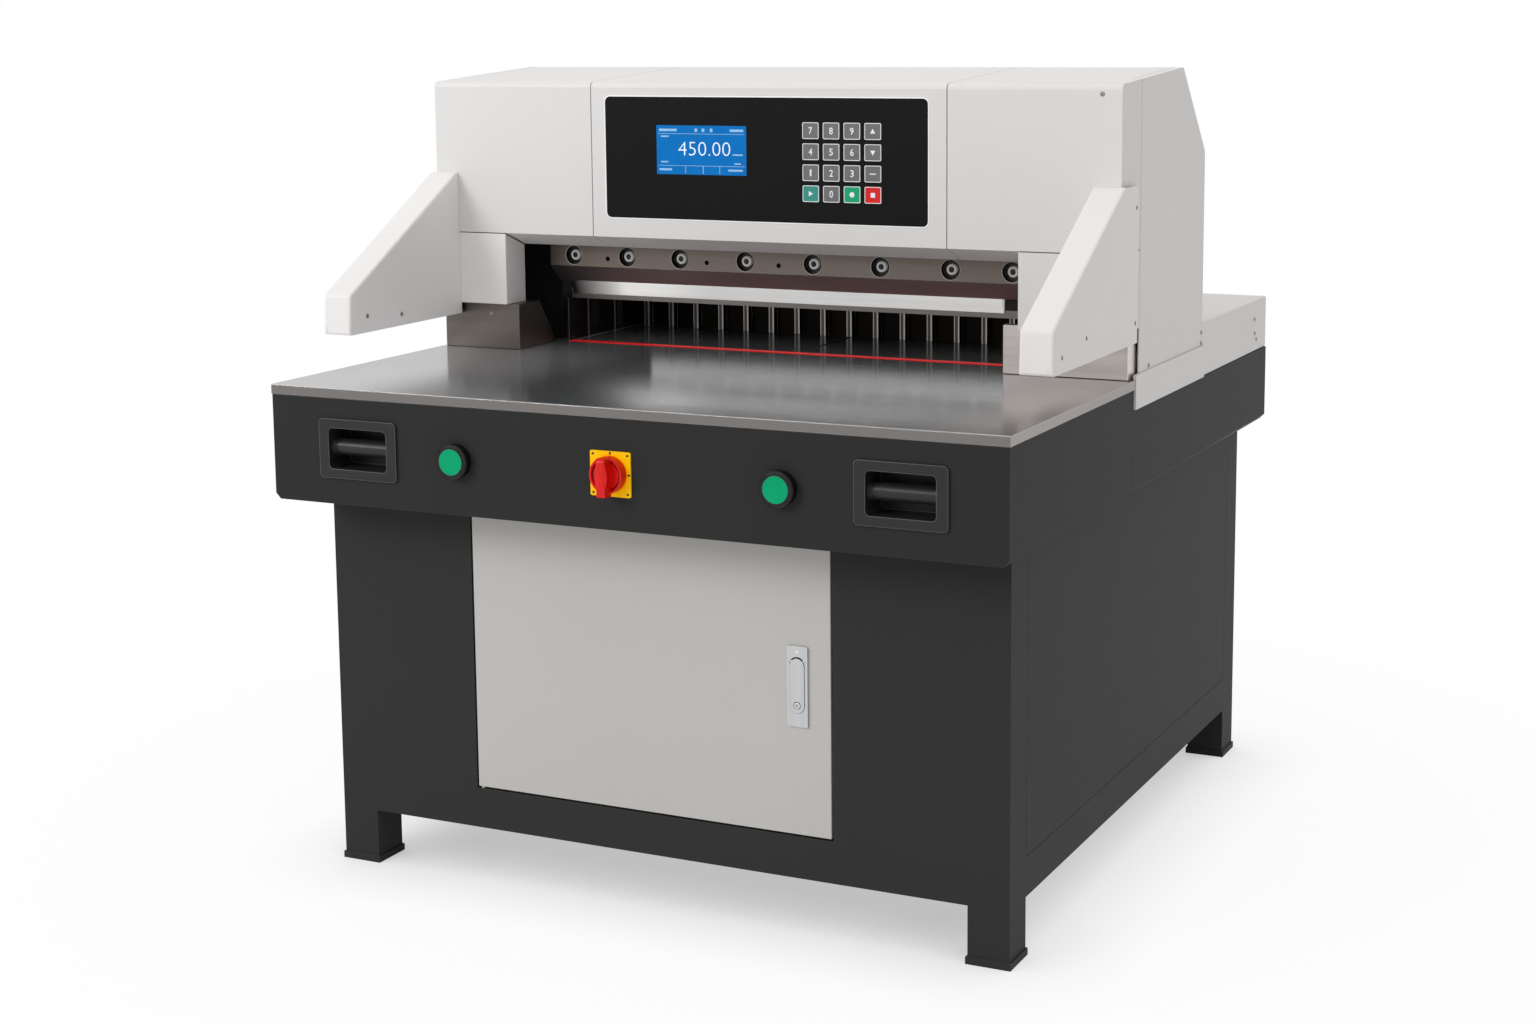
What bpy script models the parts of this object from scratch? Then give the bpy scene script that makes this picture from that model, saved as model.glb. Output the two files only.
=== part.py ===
"""A guillotine paper cutter with a programmed back gauge: cabinet, table, head, knife, clamp and controls.

The machine stands on the floor at z = 0, centred on the origin, and its front faces -y.
Places along its depth are setbacks from the front face of the apron.
"""

import math

import bmesh
import bpy
from mathutils import Matrix, Vector

# Clearances that many pieces share
FIT_GAP = 0.0003
SLIDE_GAP = 0.0006
SEAM = 0.0016
OVERRUN = 0.008
WELD_LAP = 0.002
MERGE_DISTANCE = 0.00001

# Numbers of facets
ROUND_SEGMENTS = 24
SMALL_SEGMENTS = 16
BEVEL_SEGMENTS = 2
SHARP_ANGLE = math.radians(35)

# Overall form
BODY_DEPTH = 1.515
BODY_WIDTH = 1.382
TABLE_HEIGHT = 0.900
COVER_SHEET = 0.0025

# Main switch, whose knob is the foremost point of the machine
SWITCH_X = -0.006
SWITCH_PLATE_SIZE = 0.076
SWITCH_PLATE_THICKNESS = 0.003
SWITCH_KNOB_RADIUS = 0.031
SWITCH_KNOB_THICKNESS = 0.014
SWITCH_GRIP_WIDTH = 0.016
SWITCH_GRIP_HEIGHT = 0.020
SWITCH_SHAFT_RADIUS = 0.006
SWITCH_SHAFT_LENGTH = 0.030

# Table
TABLE_SIDE_REACH = 0.002
TABLE_WIDTH = BODY_WIDTH + 2 * TABLE_SIDE_REACH
TABLE_THICKNESS = 0.018
TABLE_UNDERSIDE = TABLE_HEIGHT - TABLE_THICKNESS
BODY_TOP_Z = TABLE_UNDERSIDE - FIT_GAP
TABLE_OVERHANG = 0.001
TABLE_FRONT_DEPTH = 0.6185
TABLE_WAIST_DEPTH = 0.745
TABLE_WAIST_INSET = 0.156
TABLE_WAIST_WIDTH = BODY_WIDTH - 2 * TABLE_WAIST_INSET
TABLE_BACK_INSET = 0.060
TABLE_BACK_SETBACK = BODY_DEPTH - TABLE_BACK_INSET
TABLE_EDGE_RADIUS = 0.0012
LAY_LEFT_INSET = 0.197
LAY_RIGHT_INSET = 0.233
LAY_LEFT_X = LAY_LEFT_INSET - BODY_WIDTH / 2
LAY_RIGHT_X = BODY_WIDTH / 2 - LAY_RIGHT_INSET
LAY_THICKNESS = 0.005
LAY_HEIGHT = 0.085
LAY_FRONT_SETBACK = 0.694
LAY_BACK_INSET = 0.015
LAY_BACK_SETBACK = TABLE_BACK_SETBACK - LAY_BACK_INSET
LAY_RIB_COUNT = 7
LAY_RIB_WIDTH = 0.010
LAY_RIB_HEIGHT = 0.002
CUT_SETBACK = 0.703
STICK_WIDTH = 0.016
STICK_DEPTH = 0.010
STICK_PROUD = 0.001

# Apron and skirt
APRON_HEIGHT = 0.187
APRON_BOTTOM_Z = BODY_TOP_Z - APRON_HEIGHT
APRON_DEPTH = 0.615
APRON_SHEET = 0.003
APRON_CHAMFER = 0.010
SKIRT_TOP_DROP = 0.0535
SKIRT_TOP_Z = TABLE_HEIGHT - SKIRT_TOP_DROP

# Cabinet
CABINET_SIDE_INSET = 0.039
CABINET_WIDTH = BODY_WIDTH - 2 * CABINET_SIDE_INSET
CABINET_SETBACK = 0.115
CABINET_BACK_INSET = 0.065
CABINET_DEPTH = BODY_DEPTH - CABINET_SETBACK - CABINET_BACK_INSET
CABINET_SHEET = 0.004
CABINET_TOP_PLATE = 0.008
CABINET_WELL_WIDTH = 0.800
CABINET_WELL_FRONT_SETBACK = 0.730
CABINET_WELL_BACK_INSET = 0.105
CABINET_WELL_BACK_SETBACK = BODY_DEPTH - CABINET_WELL_BACK_INSET
LEG_WIDTH = 0.073
LEG_DEPTH = 0.075
LEG_CLEARANCE = 0.099
CAP_HEIGHT = 0.012
CAP_LIP = 0.003
TRAY_THICKNESS = 0.005
PANEL_SILL = 0.068
PANEL_BOTTOM_Z = LEG_CLEARANCE + PANEL_SILL
PANEL_TOP_DROP = 0.0147
PANEL_TOP_Z = APRON_BOTTOM_Z - PANEL_TOP_DROP
PANEL_THICKNESS = 0.002
PANEL_FLANGE = 0.020
PANEL_MARGIN = 0.0012
VENT_COUNT = 6
VENT_WIDTH = 0.300
VENT_HEIGHT = 0.008
VENT_PITCH = 0.024
VENT_DROP = 0.23
VENT_LOW_Z = PANEL_TOP_Z - VENT_DROP
GLAND_RADIUS = 0.014
GLAND_BORE_RADIUS = 0.006
GLAND_LENGTH = 0.018
GLAND_X = 0.420
GLAND_RISE = 0.121
GLAND_Z = LEG_CLEARANCE + GLAND_RISE

# Door and its latch
DOOR_LEFT_X = -0.356
DOOR_RIGHT_X = 0.3365
DOOR_SILL = 0.077
DOOR_BOTTOM_Z = LEG_CLEARANCE + DOOR_SILL
DOOR_TOP_DROP = 0.0107
DOOR_TOP_Z = APRON_BOTTOM_Z - DOOR_TOP_DROP
DOOR_THICKNESS = 0.020
DOOR_SHEET = 0.002
DOOR_GAP = 0.004
DOOR_PIN_INSET = 0.006
DOOR_PIN_RADIUS = 0.004
DOOR_PIN_PLAY = 0.0004
RIM_DEPTH = 0.028
RIM_THICKNESS = 0.003
LATCH_X = 0.277
LATCH_DROP = 0.321
LATCH_BOTTOM_Z = DOOR_TOP_Z - LATCH_DROP
LATCH_HEIGHT = 0.138
LATCH_WIDTH = 0.038
LATCH_PLATE_THICKNESS = 0.0034
LATCH_BODY_MARGIN = 0.003
LATCH_BODY_DEPTH = 0.0115
LATCH_POCKET_DEPTH = 0.0115
LATCH_POCKET_WIDTH = 0.0275
LATCH_POCKET_HEIGHT = 0.0975
LATCH_POCKET_OFFSET = 0.0225
LATCH_HANDLE_GAP = 0.0006
LATCH_HANDLE_HEAD_GAP = 0.0028
LATCH_HANDLE_THICKNESS = 0.006
LATCH_HANDLE_PROUD = 0.001
LATCH_PIVOT_INSET = 0.0056
LATCH_PIN_RADIUS = 0.0018
LATCH_PIN_REACH = 0.0020
LATCH_PIN_PLAY = 0.0004
LOCK_RISE = 0.0142
LOCK_RADIUS = 0.0055
LOCK_HOLE_GAP = 0.0012
LOCK_CAM_LENGTH = 0.082
LOCK_CAM_WIDTH = 0.016
LOCK_CAM_THICKNESS = 0.004

# Hand recesses and cut buttons in the apron
GRIP_LEFT_INSET = 0.181
GRIP_RIGHT_INSET = 0.179
GRIP_LEFT_X = GRIP_LEFT_INSET - BODY_WIDTH / 2
GRIP_RIGHT_X = BODY_WIDTH / 2 - GRIP_RIGHT_INSET
GRIP_DROP = 0.106
GRIP_Z = TABLE_HEIGHT - GRIP_DROP
GRIP_FRAME_WIDTH = 0.160
GRIP_FRAME_HEIGHT = 0.105
GRIP_FRAME_THICKNESS = 0.004
GRIP_OPENING_WIDTH = 0.120
GRIP_OPENING_HEIGHT = 0.072
GRIP_DEPTH = 0.062
GRIP_WALL = 0.0025
GRIP_BAR_RADIUS = 0.015
GRIP_BAR_SETBACK = 0.022
GRIP_CORNER_RADIUS = 0.008
CUT_BUTTON_LEFT_ROOM = 0.2013
CUT_BUTTON_RIGHT_ROOM = 0.209
CUT_BUTTON_LEFT_X = GRIP_LEFT_X + CUT_BUTTON_LEFT_ROOM
CUT_BUTTON_RIGHT_X = GRIP_RIGHT_X - CUT_BUTTON_RIGHT_ROOM
CONTROL_DROP = 0.11
CONTROL_Z = TABLE_HEIGHT - CONTROL_DROP
BEZEL_RADIUS = 0.030
BEZEL_STANDOUT = 0.018
BEZEL_BARREL_RADIUS = 0.016
BEZEL_BARREL_LENGTH = 0.030
BEZEL_LIP = 0.0055
BEZEL_FLOOR = 0.004
BUTTON_STEM_RADIUS = 0.008
BUTTON_STEM_LENGTH = 0.014
BUTTON_TRAVEL = 0.005
BUTTON_CROWN = 0.0015

# Head covers, in side view
HEAD_SIDE_INSET = 0.001
HEAD_WIDTH = BODY_WIDTH - 2 * HEAD_SIDE_INSET
HEAD_SETBACK = 0.537
MOUTH_HEIGHT = 0.226
MOUTH_TOP_Z = TABLE_HEIGHT + MOUTH_HEIGHT
HEAD_FRONT_HEIGHT = 0.288
HEAD_FRONT_TOP_Z = MOUTH_TOP_Z + HEAD_FRONT_HEIGHT
HEAD_TOP_BACK_SETBACK = 0.892
HEAD_TOP_RISE = 0.0205
HEAD_TOP_BACK_Z = HEAD_FRONT_TOP_Z + HEAD_TOP_RISE
HEAD_BACK_SETBACK = 1.041
HEAD_BACK_DROP = 0.139
HEAD_BACK_TOP_Z = HEAD_FRONT_TOP_Z - HEAD_BACK_DROP
HEAD_SIDE_GAP = 0.0083
HEAD_SIDE_BOTTOM_Z = TABLE_HEIGHT + HEAD_SIDE_GAP
HEAD_SIDE_SEAM_SETBACK = 0.644
HEAD_TOP_SEAM_INSET = 0.018
HEAD_SEAM_LEFT_X = -0.343
HEAD_SEAM_RIGHT_X = 0.372
HEAD_EDGE_RADIUS = 0.010
COLUMN_LEFT_WIDTH = 0.152
COLUMN_RIGHT_WIDTH = 0.185
MOUTH_LEFT_X = COLUMN_LEFT_WIDTH - HEAD_WIDTH / 2
MOUTH_RIGHT_X = HEAD_WIDTH / 2 - COLUMN_RIGHT_WIDTH
LIP_DEPTH = 0.068
LIP_DROP = 0.026
REAR_WINDOW_MARGIN_LEFT = 0.190
REAR_WINDOW_MARGIN_RIGHT = 0.225
REAR_WINDOW_LEFT_X = REAR_WINDOW_MARGIN_LEFT - HEAD_WIDTH / 2
REAR_WINDOW_RIGHT_X = HEAD_WIDTH / 2 - REAR_WINDOW_MARGIN_RIGHT
REAR_WINDOW_HEIGHT = 0.16
REAR_WINDOW_TOP_Z = TABLE_HEIGHT + REAR_WINDOW_HEIGHT

# Rear table guard and the low strips beside the head
GUARD_DROP = 0.053
GUARD_BOTTOM_Z = TABLE_HEIGHT - GUARD_DROP
GUARD_RISE = 0.0515
GUARD_TOP_Z = TABLE_HEIGHT + GUARD_RISE
STRIP_STANDOUT = 0.004
STRIP_WIDTH = HEAD_WIDTH + 2 * STRIP_STANDOUT
STRIP_THICKNESS = 0.006
STRIP_RISE = 0.008
STRIP_TOP_Z = TABLE_HEIGHT + STRIP_RISE
STRIP_FRONT_SETBACK = 0.6195
GUARD_EDGE_RADIUS = 0.003

# Stainless sleeves round the column feet
SLEEVE_HEIGHT = 0.088
SLEEVE_TOP_Z = TABLE_HEIGHT + SLEEVE_HEIGHT
SLEEVE_LEFT_REACH = 0.0215
SLEEVE_LEFT_X = MOUTH_LEFT_X + SLEEVE_LEFT_REACH
SLEEVE_LEFT_SETBACK = 0.545
SLEEVE_RIGHT_REACH = 0.0519
SLEEVE_RIGHT_X = MOUTH_RIGHT_X - SLEEVE_RIGHT_REACH
SLEEVE_RIGHT_SETBACK = 0.6015
SLEEVE_OUTER_INSET = 0.0055
SLEEVE_SHOULDER_SETBACK = 0.620
SLEEVE_TOE_SETBACK = 0.683
SLEEVE_SHEET = 0.002

# Guard arms
ARM_STANDOUT = 0.010
ARM_SPAN = HEAD_WIDTH + 2 * ARM_STANDOUT
ARM_WIDTH = 0.059
ARM_TIP_SETBACK = 0.168
ARM_NOSE_SETBACK = 0.173
ARM_NOSE_RISE = 0.14
ARM_NOSE_Z = TABLE_HEIGHT + ARM_NOSE_RISE
ARM_BROW_SETBACK = 0.529
ARM_TOP_RISE = 0.1145
ARM_TOP_Z = MOUTH_TOP_Z + ARM_TOP_RISE
ARM_CLEARANCE = 0.067
ARM_BOTTOM_Z = TABLE_HEIGHT + ARM_CLEARANCE
ARM_CHEEK_BACK_SETBACK = 0.608
ARM_EDGE_RADIUS = 0.005
ARM_SEAM_WIDTH = 0.0014
ARM_SEAM_DEPTH = 0.0012

# Control panel, display and keypad
PANEL_LEFT_X = -0.3115
PANEL_RIGHT_X = 0.3358
PANEL_LOW_RISE = 0.038
PANEL_LOW_Z = MOUTH_TOP_Z + PANEL_LOW_RISE
PANEL_HEIGHT = 0.223
PANEL_HIGH_Z = PANEL_LOW_Z + PANEL_HEIGHT
PANEL_CORNER_RADIUS = 0.009
PANEL_CUTOUT_GAP = 0.0010
PANEL_PROUD = 0.0012
PANEL_REBATE = 0.006
PANEL_REBATE_THICKNESS = 0.003
CONSOLE_DEPTH = 0.060
CONSOLE_MARGIN = 0.012
DISPLAY_LEFT_X = -0.204
DISPLAY_RIGHT_X = -0.019
DISPLAY_RISE = 0.082
DISPLAY_LOW_Z = PANEL_LOW_Z + DISPLAY_RISE
DISPLAY_HEIGHT = 0.09
DISPLAY_HIGH_Z = DISPLAY_LOW_Z + DISPLAY_HEIGHT
DISPLAY_THICKNESS = 0.002
DISPLAY_SINK = 0.0004
KEY_COLUMNS = 4
KEY_ROWS = 4
KEY_FIRST_X = 0.1107
KEY_FIRST_DROP = 0.0575
KEY_FIRST_Z = PANEL_HIGH_Z - KEY_FIRST_DROP
KEY_PITCH_X = 0.0405
KEY_PITCH_Z = 0.0376
KEY_WIDTH = 0.0325
KEY_HEIGHT = 0.030
KEY_THICKNESS = 0.004
KEY_PROUD = 0.0016
KEY_TRAVEL = 0.0012
KEY_PLAY = 0.0004
KEY_EDGE_RADIUS = 0.0012
KEY_FLOOR_GAP = 0.0018

# Cast bridge behind the knife
BRIDGE_SETBACK = 0.7583
BRIDGE_DEPTH = 0.120
BRIDGE_COLUMN_INSET = 0.145
BRIDGE_COLUMN_INNER_X = HEAD_WIDTH / 2 - BRIDGE_COLUMN_INSET
BRIDGE_COLUMN_WIDTH = 0.095
BRIDGE_BEAM_DROP = 0.006
BRIDGE_BEAM_BOTTOM_Z = MOUTH_TOP_Z - BRIDGE_BEAM_DROP
BRIDGE_TOP_ROOM = 0.029
BRIDGE_TOP_Z = HEAD_FRONT_TOP_Z - BRIDGE_TOP_ROOM
BRIDGE_WEB = 0.022
BRIDGE_FLANGE = 0.020
BRIDGE_POCKET_COUNT = 4
BRIDGE_FOOT_HEIGHT = 0.022
BRIDGE_FOOT_REACH = 0.030
COVER_LUG_INSET = 0.085
COVER_LUG_X = BRIDGE_COLUMN_INNER_X - COVER_LUG_INSET
COVER_LUG_WIDTH = 0.080
COVER_LUG_DEPTH = 0.050
GUIDE_BOLT_INSET = 0.215
GUIDE_BOLT_X = BRIDGE_COLUMN_INNER_X - GUIDE_BOLT_INSET
GUIDE_BOLT_RISE = 0.045
GUIDE_BOLT_Z = BRIDGE_BEAM_BOTTOM_Z + GUIDE_BOLT_RISE
GUIDE_BOLT_RADIUS = 0.0145
GUIDE_HEAD_RADIUS = 0.024
GUIDE_HEAD_THICKNESS = 0.008
GUIDE_BUSH_INSET = 0.125
GUIDE_BUSH_X = BRIDGE_COLUMN_INNER_X - GUIDE_BUSH_INSET
GUIDE_BUSH_WIDTH = 0.044
GUIDE_BUSH_RISE = 0.04
GUIDE_BUSH_LOW_Z = BRIDGE_BEAM_BOTTOM_Z + GUIDE_BUSH_RISE
GUIDE_BUSH_HEIGHT = 0.08
GUIDE_BUSH_HIGH_Z = GUIDE_BUSH_LOW_Z + GUIDE_BUSH_HEIGHT
TRUNNION_RADIUS = 0.010
TRUNNION_REACH = 0.012

# Knife carrier and blade
CARRIER_LEFT_ROOM = 0.027
CARRIER_RIGHT_ROOM = 0.043
CARRIER_LEFT_X = MOUTH_LEFT_X + CARRIER_LEFT_ROOM
CARRIER_RIGHT_X = MOUTH_RIGHT_X - CARRIER_RIGHT_ROOM
CARRIER_SETBACK = 0.658
CARRIER_THICKNESS = 0.033
CARRIER_EDGE_RISE = 0.1545
CARRIER_EDGE_Z = TABLE_HEIGHT + CARRIER_EDGE_RISE
CARRIER_TOP_DROP = 0.093
CARRIER_TOP_Z = BRIDGE_TOP_Z - CARRIER_TOP_DROP
KNIFE_ANGLE = math.radians(20)
KNIFE_BOLT_RISE = 0.021
KNIFE_BOLT_Z = CARRIER_EDGE_Z + KNIFE_BOLT_RISE
KNIFE_BOLT_END_ROOM = 0.0165
KNIFE_BOLT_HALF_SPAN = (CARRIER_RIGHT_X - CARRIER_LEFT_X) / 2 - KNIFE_BOLT_END_ROOM
KNIFE_BOLT_SHARES = (-0.974, -0.721, -0.477, -0.180, 0.118, 0.409, 0.704, 0.955)
KNIFE_BOLT_POCKET_RADIUS = 0.0185
KNIFE_BOLT_POCKET_DEPTH = 0.013
KNIFE_BOLT_HOLE_RADIUS = 0.009
SETTING_HOLE_RISE = 0.016
SETTING_HOLE_Z = CARRIER_EDGE_Z + SETTING_HOLE_RISE
SETTING_HOLE_SHARES = (-0.814, -0.354, -0.031)
SETTING_HOLE_RADIUS = 0.0045
BLADE_LEFT_ROOM = 0.024
BLADE_RIGHT_ROOM = 0.0445
BLADE_LEFT_X = CARRIER_LEFT_X + BLADE_LEFT_ROOM
BLADE_RIGHT_X = CARRIER_RIGHT_X - BLADE_RIGHT_ROOM
BLADE_THICKNESS = 0.0115
BLADE_EDGE_RISE = 0.095
BLADE_EDGE_Z = TABLE_HEIGHT + BLADE_EDGE_RISE
BLADE_BEVEL_HEIGHT = 0.027
BLADE_BEVEL_Z = BLADE_EDGE_Z + BLADE_BEVEL_HEIGHT
BLADE_HEIGHT = 0.12
BLADE_TOP_Z = BLADE_EDGE_Z + BLADE_HEIGHT
BLADE_BOLT_RADIUS = 0.0055
SLOT_END_ROOM = 0.0012

# Knife and clamp cylinders
KNIFE_ROD_X = 0.150
KNIFE_NOTCH_RISE = 0.0735
KNIFE_NOTCH_Z = CARRIER_EDGE_Z + KNIFE_NOTCH_RISE
KNIFE_NOTCH_GAP = 0.003
KNIFE_CYLINDER_RADIUS = 0.026
KNIFE_CYLINDER_LENGTH = 0.175
KNIFE_CYLINDER_GAP = 0.020
CYLINDER_WALL = 0.007
CYLINDER_CAP = 0.012
CYLINDER_EYE_LENGTH = 0.042
CYLINDER_EYE_THICKNESS = 0.024
CYLINDER_EYE_WIDTH = 0.036
ROD_RADIUS = 0.0095
PISTON_THICKNESS = 0.016
CLAMP_CYLINDER_RADIUS = 0.027
CLAMP_CYLINDER_DROP = 0.008
CLAMP_CYLINDER_LOW_Z = BRIDGE_BEAM_BOTTOM_Z - CLAMP_CYLINDER_DROP
CLAMP_CYLINDER_ROOM = 0.055
CLAMP_CYLINDER_HIGH_Z = BRIDGE_TOP_Z - CLAMP_CYLINDER_ROOM
CLAMP_ROD_RADIUS = 0.012

# Clamp beam
CLAMP_SIDE_GAP = 0.0028
CLAMP_LEFT_X = LAY_LEFT_X + CLAMP_SIDE_GAP
CLAMP_RIGHT_X = LAY_RIGHT_X - CLAMP_SIDE_GAP
CLAMP_RISE = 0.0857
CLAMP_BOTTOM_Z = TABLE_HEIGHT + CLAMP_RISE
CLAMP_TOP_DROP = 0.02
CLAMP_TOP_Z = BRIDGE_BEAM_BOTTOM_Z - CLAMP_TOP_DROP
CLAMP_THICKNESS = 0.0542
CLAMP_COMB_DEPTH = 0.012
CLAMP_COMB_GAP = 0.003
CLAMP_COMB_FRONT_SHARE = 0.45
CLAMP_ROD_OVERRUN = 0.018

# Back gauge and its screw
GAUGE_SETBACK = 0.953
GAUGE_TOOTH_DEPTH = 0.016
GAUGE_BEAM_DEPTH = 0.045
GAUGE_HEIGHT = 0.075
GAUGE_SIDE_GAP = 0.004
GAUGE_TOOTH_COUNT = 16
GAUGE_FIRST_TOOTH_ROOM = 0.0327
GAUGE_LAST_TOOTH_ROOM = 0.0598
GAUGE_FIRST_TOOTH_X = LAY_LEFT_X + GAUGE_FIRST_TOOTH_ROOM
GAUGE_TEETH_SPAN = LAY_RIGHT_X - GAUGE_LAST_TOOTH_ROOM - GAUGE_FIRST_TOOTH_X
GAUGE_TOOTH_PITCH = GAUGE_TEETH_SPAN / (GAUGE_TOOTH_COUNT - 1)
GAUGE_TOOTH_WIDTH = 0.011
GAUGE_NECK_WIDTH = 0.006
GAUGE_NECK_DEPTH = 0.022
GAUGE_SLOT_GAP = 0.001
GAUGE_FORWARD_TRAVEL = 0.178
GAUGE_BACK_ROOM = 0.149
GAUGE_REACH = GAUGE_SETBACK + GAUGE_TOOTH_DEPTH + GAUGE_BEAM_DEPTH
GAUGE_BACKWARD_TRAVEL = LAY_BACK_SETBACK - GAUGE_BACK_ROOM - GAUGE_REACH
NUT_WIDTH = 0.046
NUT_DEPTH = 0.042
NUT_HEIGHT = 0.046
SCREW_DROP = 0.052
SCREW_Z = TABLE_HEIGHT - SCREW_DROP
SCREW_RADIUS = 0.010
SCREW_JOURNAL_RADIUS = 0.008
SCREW_PLAY = 0.0004
SCREW_BRACKET_WIDTH = 0.060
SCREW_BRACKET_DEPTH = 0.018
SCREW_BRACKET_DROP = 0.062
SCREW_END_ROOM = 0.006
GAUGE_MOTOR_SIZE = 0.060
GAUGE_MOTOR_LENGTH = 0.075
GAUGE_MOTOR_EDGE = 0.006

# Hydraulic power pack
TANK_LEFT_X = -0.300
TANK_RIGHT_X = 0.080
TANK_SETBACK = 0.420
TANK_DEPTH = 0.400
TANK_HEIGHT = 0.270
TANK_SHEET = 0.003
TANK_LID_THICKNESS = 0.008
TANK_LID_REACH = 0.008
TANK_FILLER_RADIUS = 0.020
TANK_FILLER_HEIGHT = 0.014
TANK_FILLER_BORE_RADIUS = 0.013
TANK_FILLER_INSET = 0.050
MOTOR_RADIUS = 0.078
MOTOR_LENGTH = 0.230
MOTOR_BELL_RADIUS = 0.066
MOTOR_BELL_LENGTH = 0.030
MOTOR_FOOT_WIDTH = 0.130
MOTOR_FOOT_LENGTH = 0.150
MOTOR_FOOT_HEIGHT = 0.016
MOTOR_BOX_SIZE = 0.080
MOTOR_BOX_HEIGHT = 0.038

# Places worked out from the sizes
SWITCH_KNOB_HEIGHT = SWITCH_KNOB_THICKNESS + SWITCH_GRIP_HEIGHT
SWITCH_STANDOUT = SWITCH_PLATE_THICKNESS + 2 * FIT_GAP + SWITCH_KNOB_HEIGHT
FRONT_Y = SWITCH_STANDOUT - (BODY_DEPTH + SWITCH_STANDOUT) / 2
CABINET_BACK_SETBACK = CABINET_SETBACK + CABINET_DEPTH
BRIDGE_BACK_SETBACK = BRIDGE_SETBACK + BRIDGE_DEPTH
BLADE_SETBACK = CARRIER_SETBACK + CARRIER_THICKNESS + FIT_GAP
CLAMP_BACK_SETBACK = BRIDGE_SETBACK - FIT_GAP
CLAMP_SETBACK = CLAMP_BACK_SETBACK - CLAMP_THICKNESS
CLAMP_ROD_SETBACK = CLAMP_BACK_SETBACK - CLAMP_CYLINDER_RADIUS
KNIFE_DROP = BLADE_EDGE_Z - TABLE_HEIGHT - STICK_PROUD - FIT_GAP
KNIFE_STROKE = KNIFE_DROP / math.cos(KNIFE_ANGLE)
KNIFE_UP = Vector((-math.sin(KNIFE_ANGLE), 0, math.cos(KNIFE_ANGLE)))
CLAMP_STROKE = CLAMP_BOTTOM_Z - TABLE_HEIGHT - STICK_PROUD - FIT_GAP
SCREW_FRONT_SETBACK = CABINET_WELL_FRONT_SETBACK + 2 * SEAM
SCREW_BACK_SETBACK = CABINET_WELL_BACK_SETBACK - GAUGE_MOTOR_LENGTH - 2 * SEAM


def at(setback):
    """The y of a place this far behind the front face of the apron."""
    return FRONT_Y + setback


def depth(front, back):
    """The y limits of a piece between two setbacks."""
    return (at(front), at(back))


def around(centre, width):
    """Limits that lie evenly about a centre."""
    return (centre - width / 2, centre + width / 2)


def clear_scene():
    for thing in list(bpy.data.objects):
        bpy.data.objects.remove(thing, do_unlink=True)


def new_collection(name):
    collection = bpy.data.collections.new(name)
    bpy.context.scene.collection.children.link(collection)
    return collection


def new_object(name, mesh):
    """Links a mesh into the machine's collection as an object."""
    thing = bpy.data.objects.new(name, mesh)
    MACHINE.objects.link(thing)
    return thing


def from_bmesh(name, shape):
    bmesh.ops.recalc_face_normals(shape, faces=shape.faces)
    mesh = bpy.data.meshes.new(name)
    shape.to_mesh(mesh)
    shape.free()
    return new_object(name, mesh)


def add_box(shape, x, y, z):
    """Adds one box between its limits to a mesh under construction."""
    made = bmesh.ops.create_cube(shape, size=1)["verts"]
    size = (x[1] - x[0], y[1] - y[0], z[1] - z[0])
    middle = (sum(x) / 2, sum(y) / 2, sum(z) / 2)
    bmesh.ops.scale(shape, vec=size, verts=made)
    bmesh.ops.translate(shape, vec=middle, verts=made)


def block(name, x, y, z):
    """A box between its limits along x, y and z."""
    return blocks(name, [(x, y, z)])


def blocks(name, limits):
    """Several boxes in one mesh, for a pattern of cuts."""
    shape = bmesh.new()
    for x, y, z in limits:
        add_box(shape, x, y, z)
    return from_bmesh(name, shape)


def rod(name, centre, radius, length, along, segments=ROUND_SEGMENTS):
    """A round bar about its centre, along an axis given as a vector."""
    return rods(name, [centre], radius, length, along, segments)


def rods(name, centres, radius, length, along, segments=ROUND_SEGMENTS):
    """Equal parallel round bars in one mesh."""
    turn = Vector((0, 0, 1)).rotation_difference(Vector(along)).to_matrix().to_4x4()
    shape = bmesh.new()
    for centre in centres:
        bmesh.ops.create_cone(
            shape,
            cap_ends=True,
            segments=segments,
            radius1=radius,
            radius2=radius,
            depth=length,
            matrix=Matrix.Translation(centre) @ turn,
        )
    return from_bmesh(name, shape)


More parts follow.
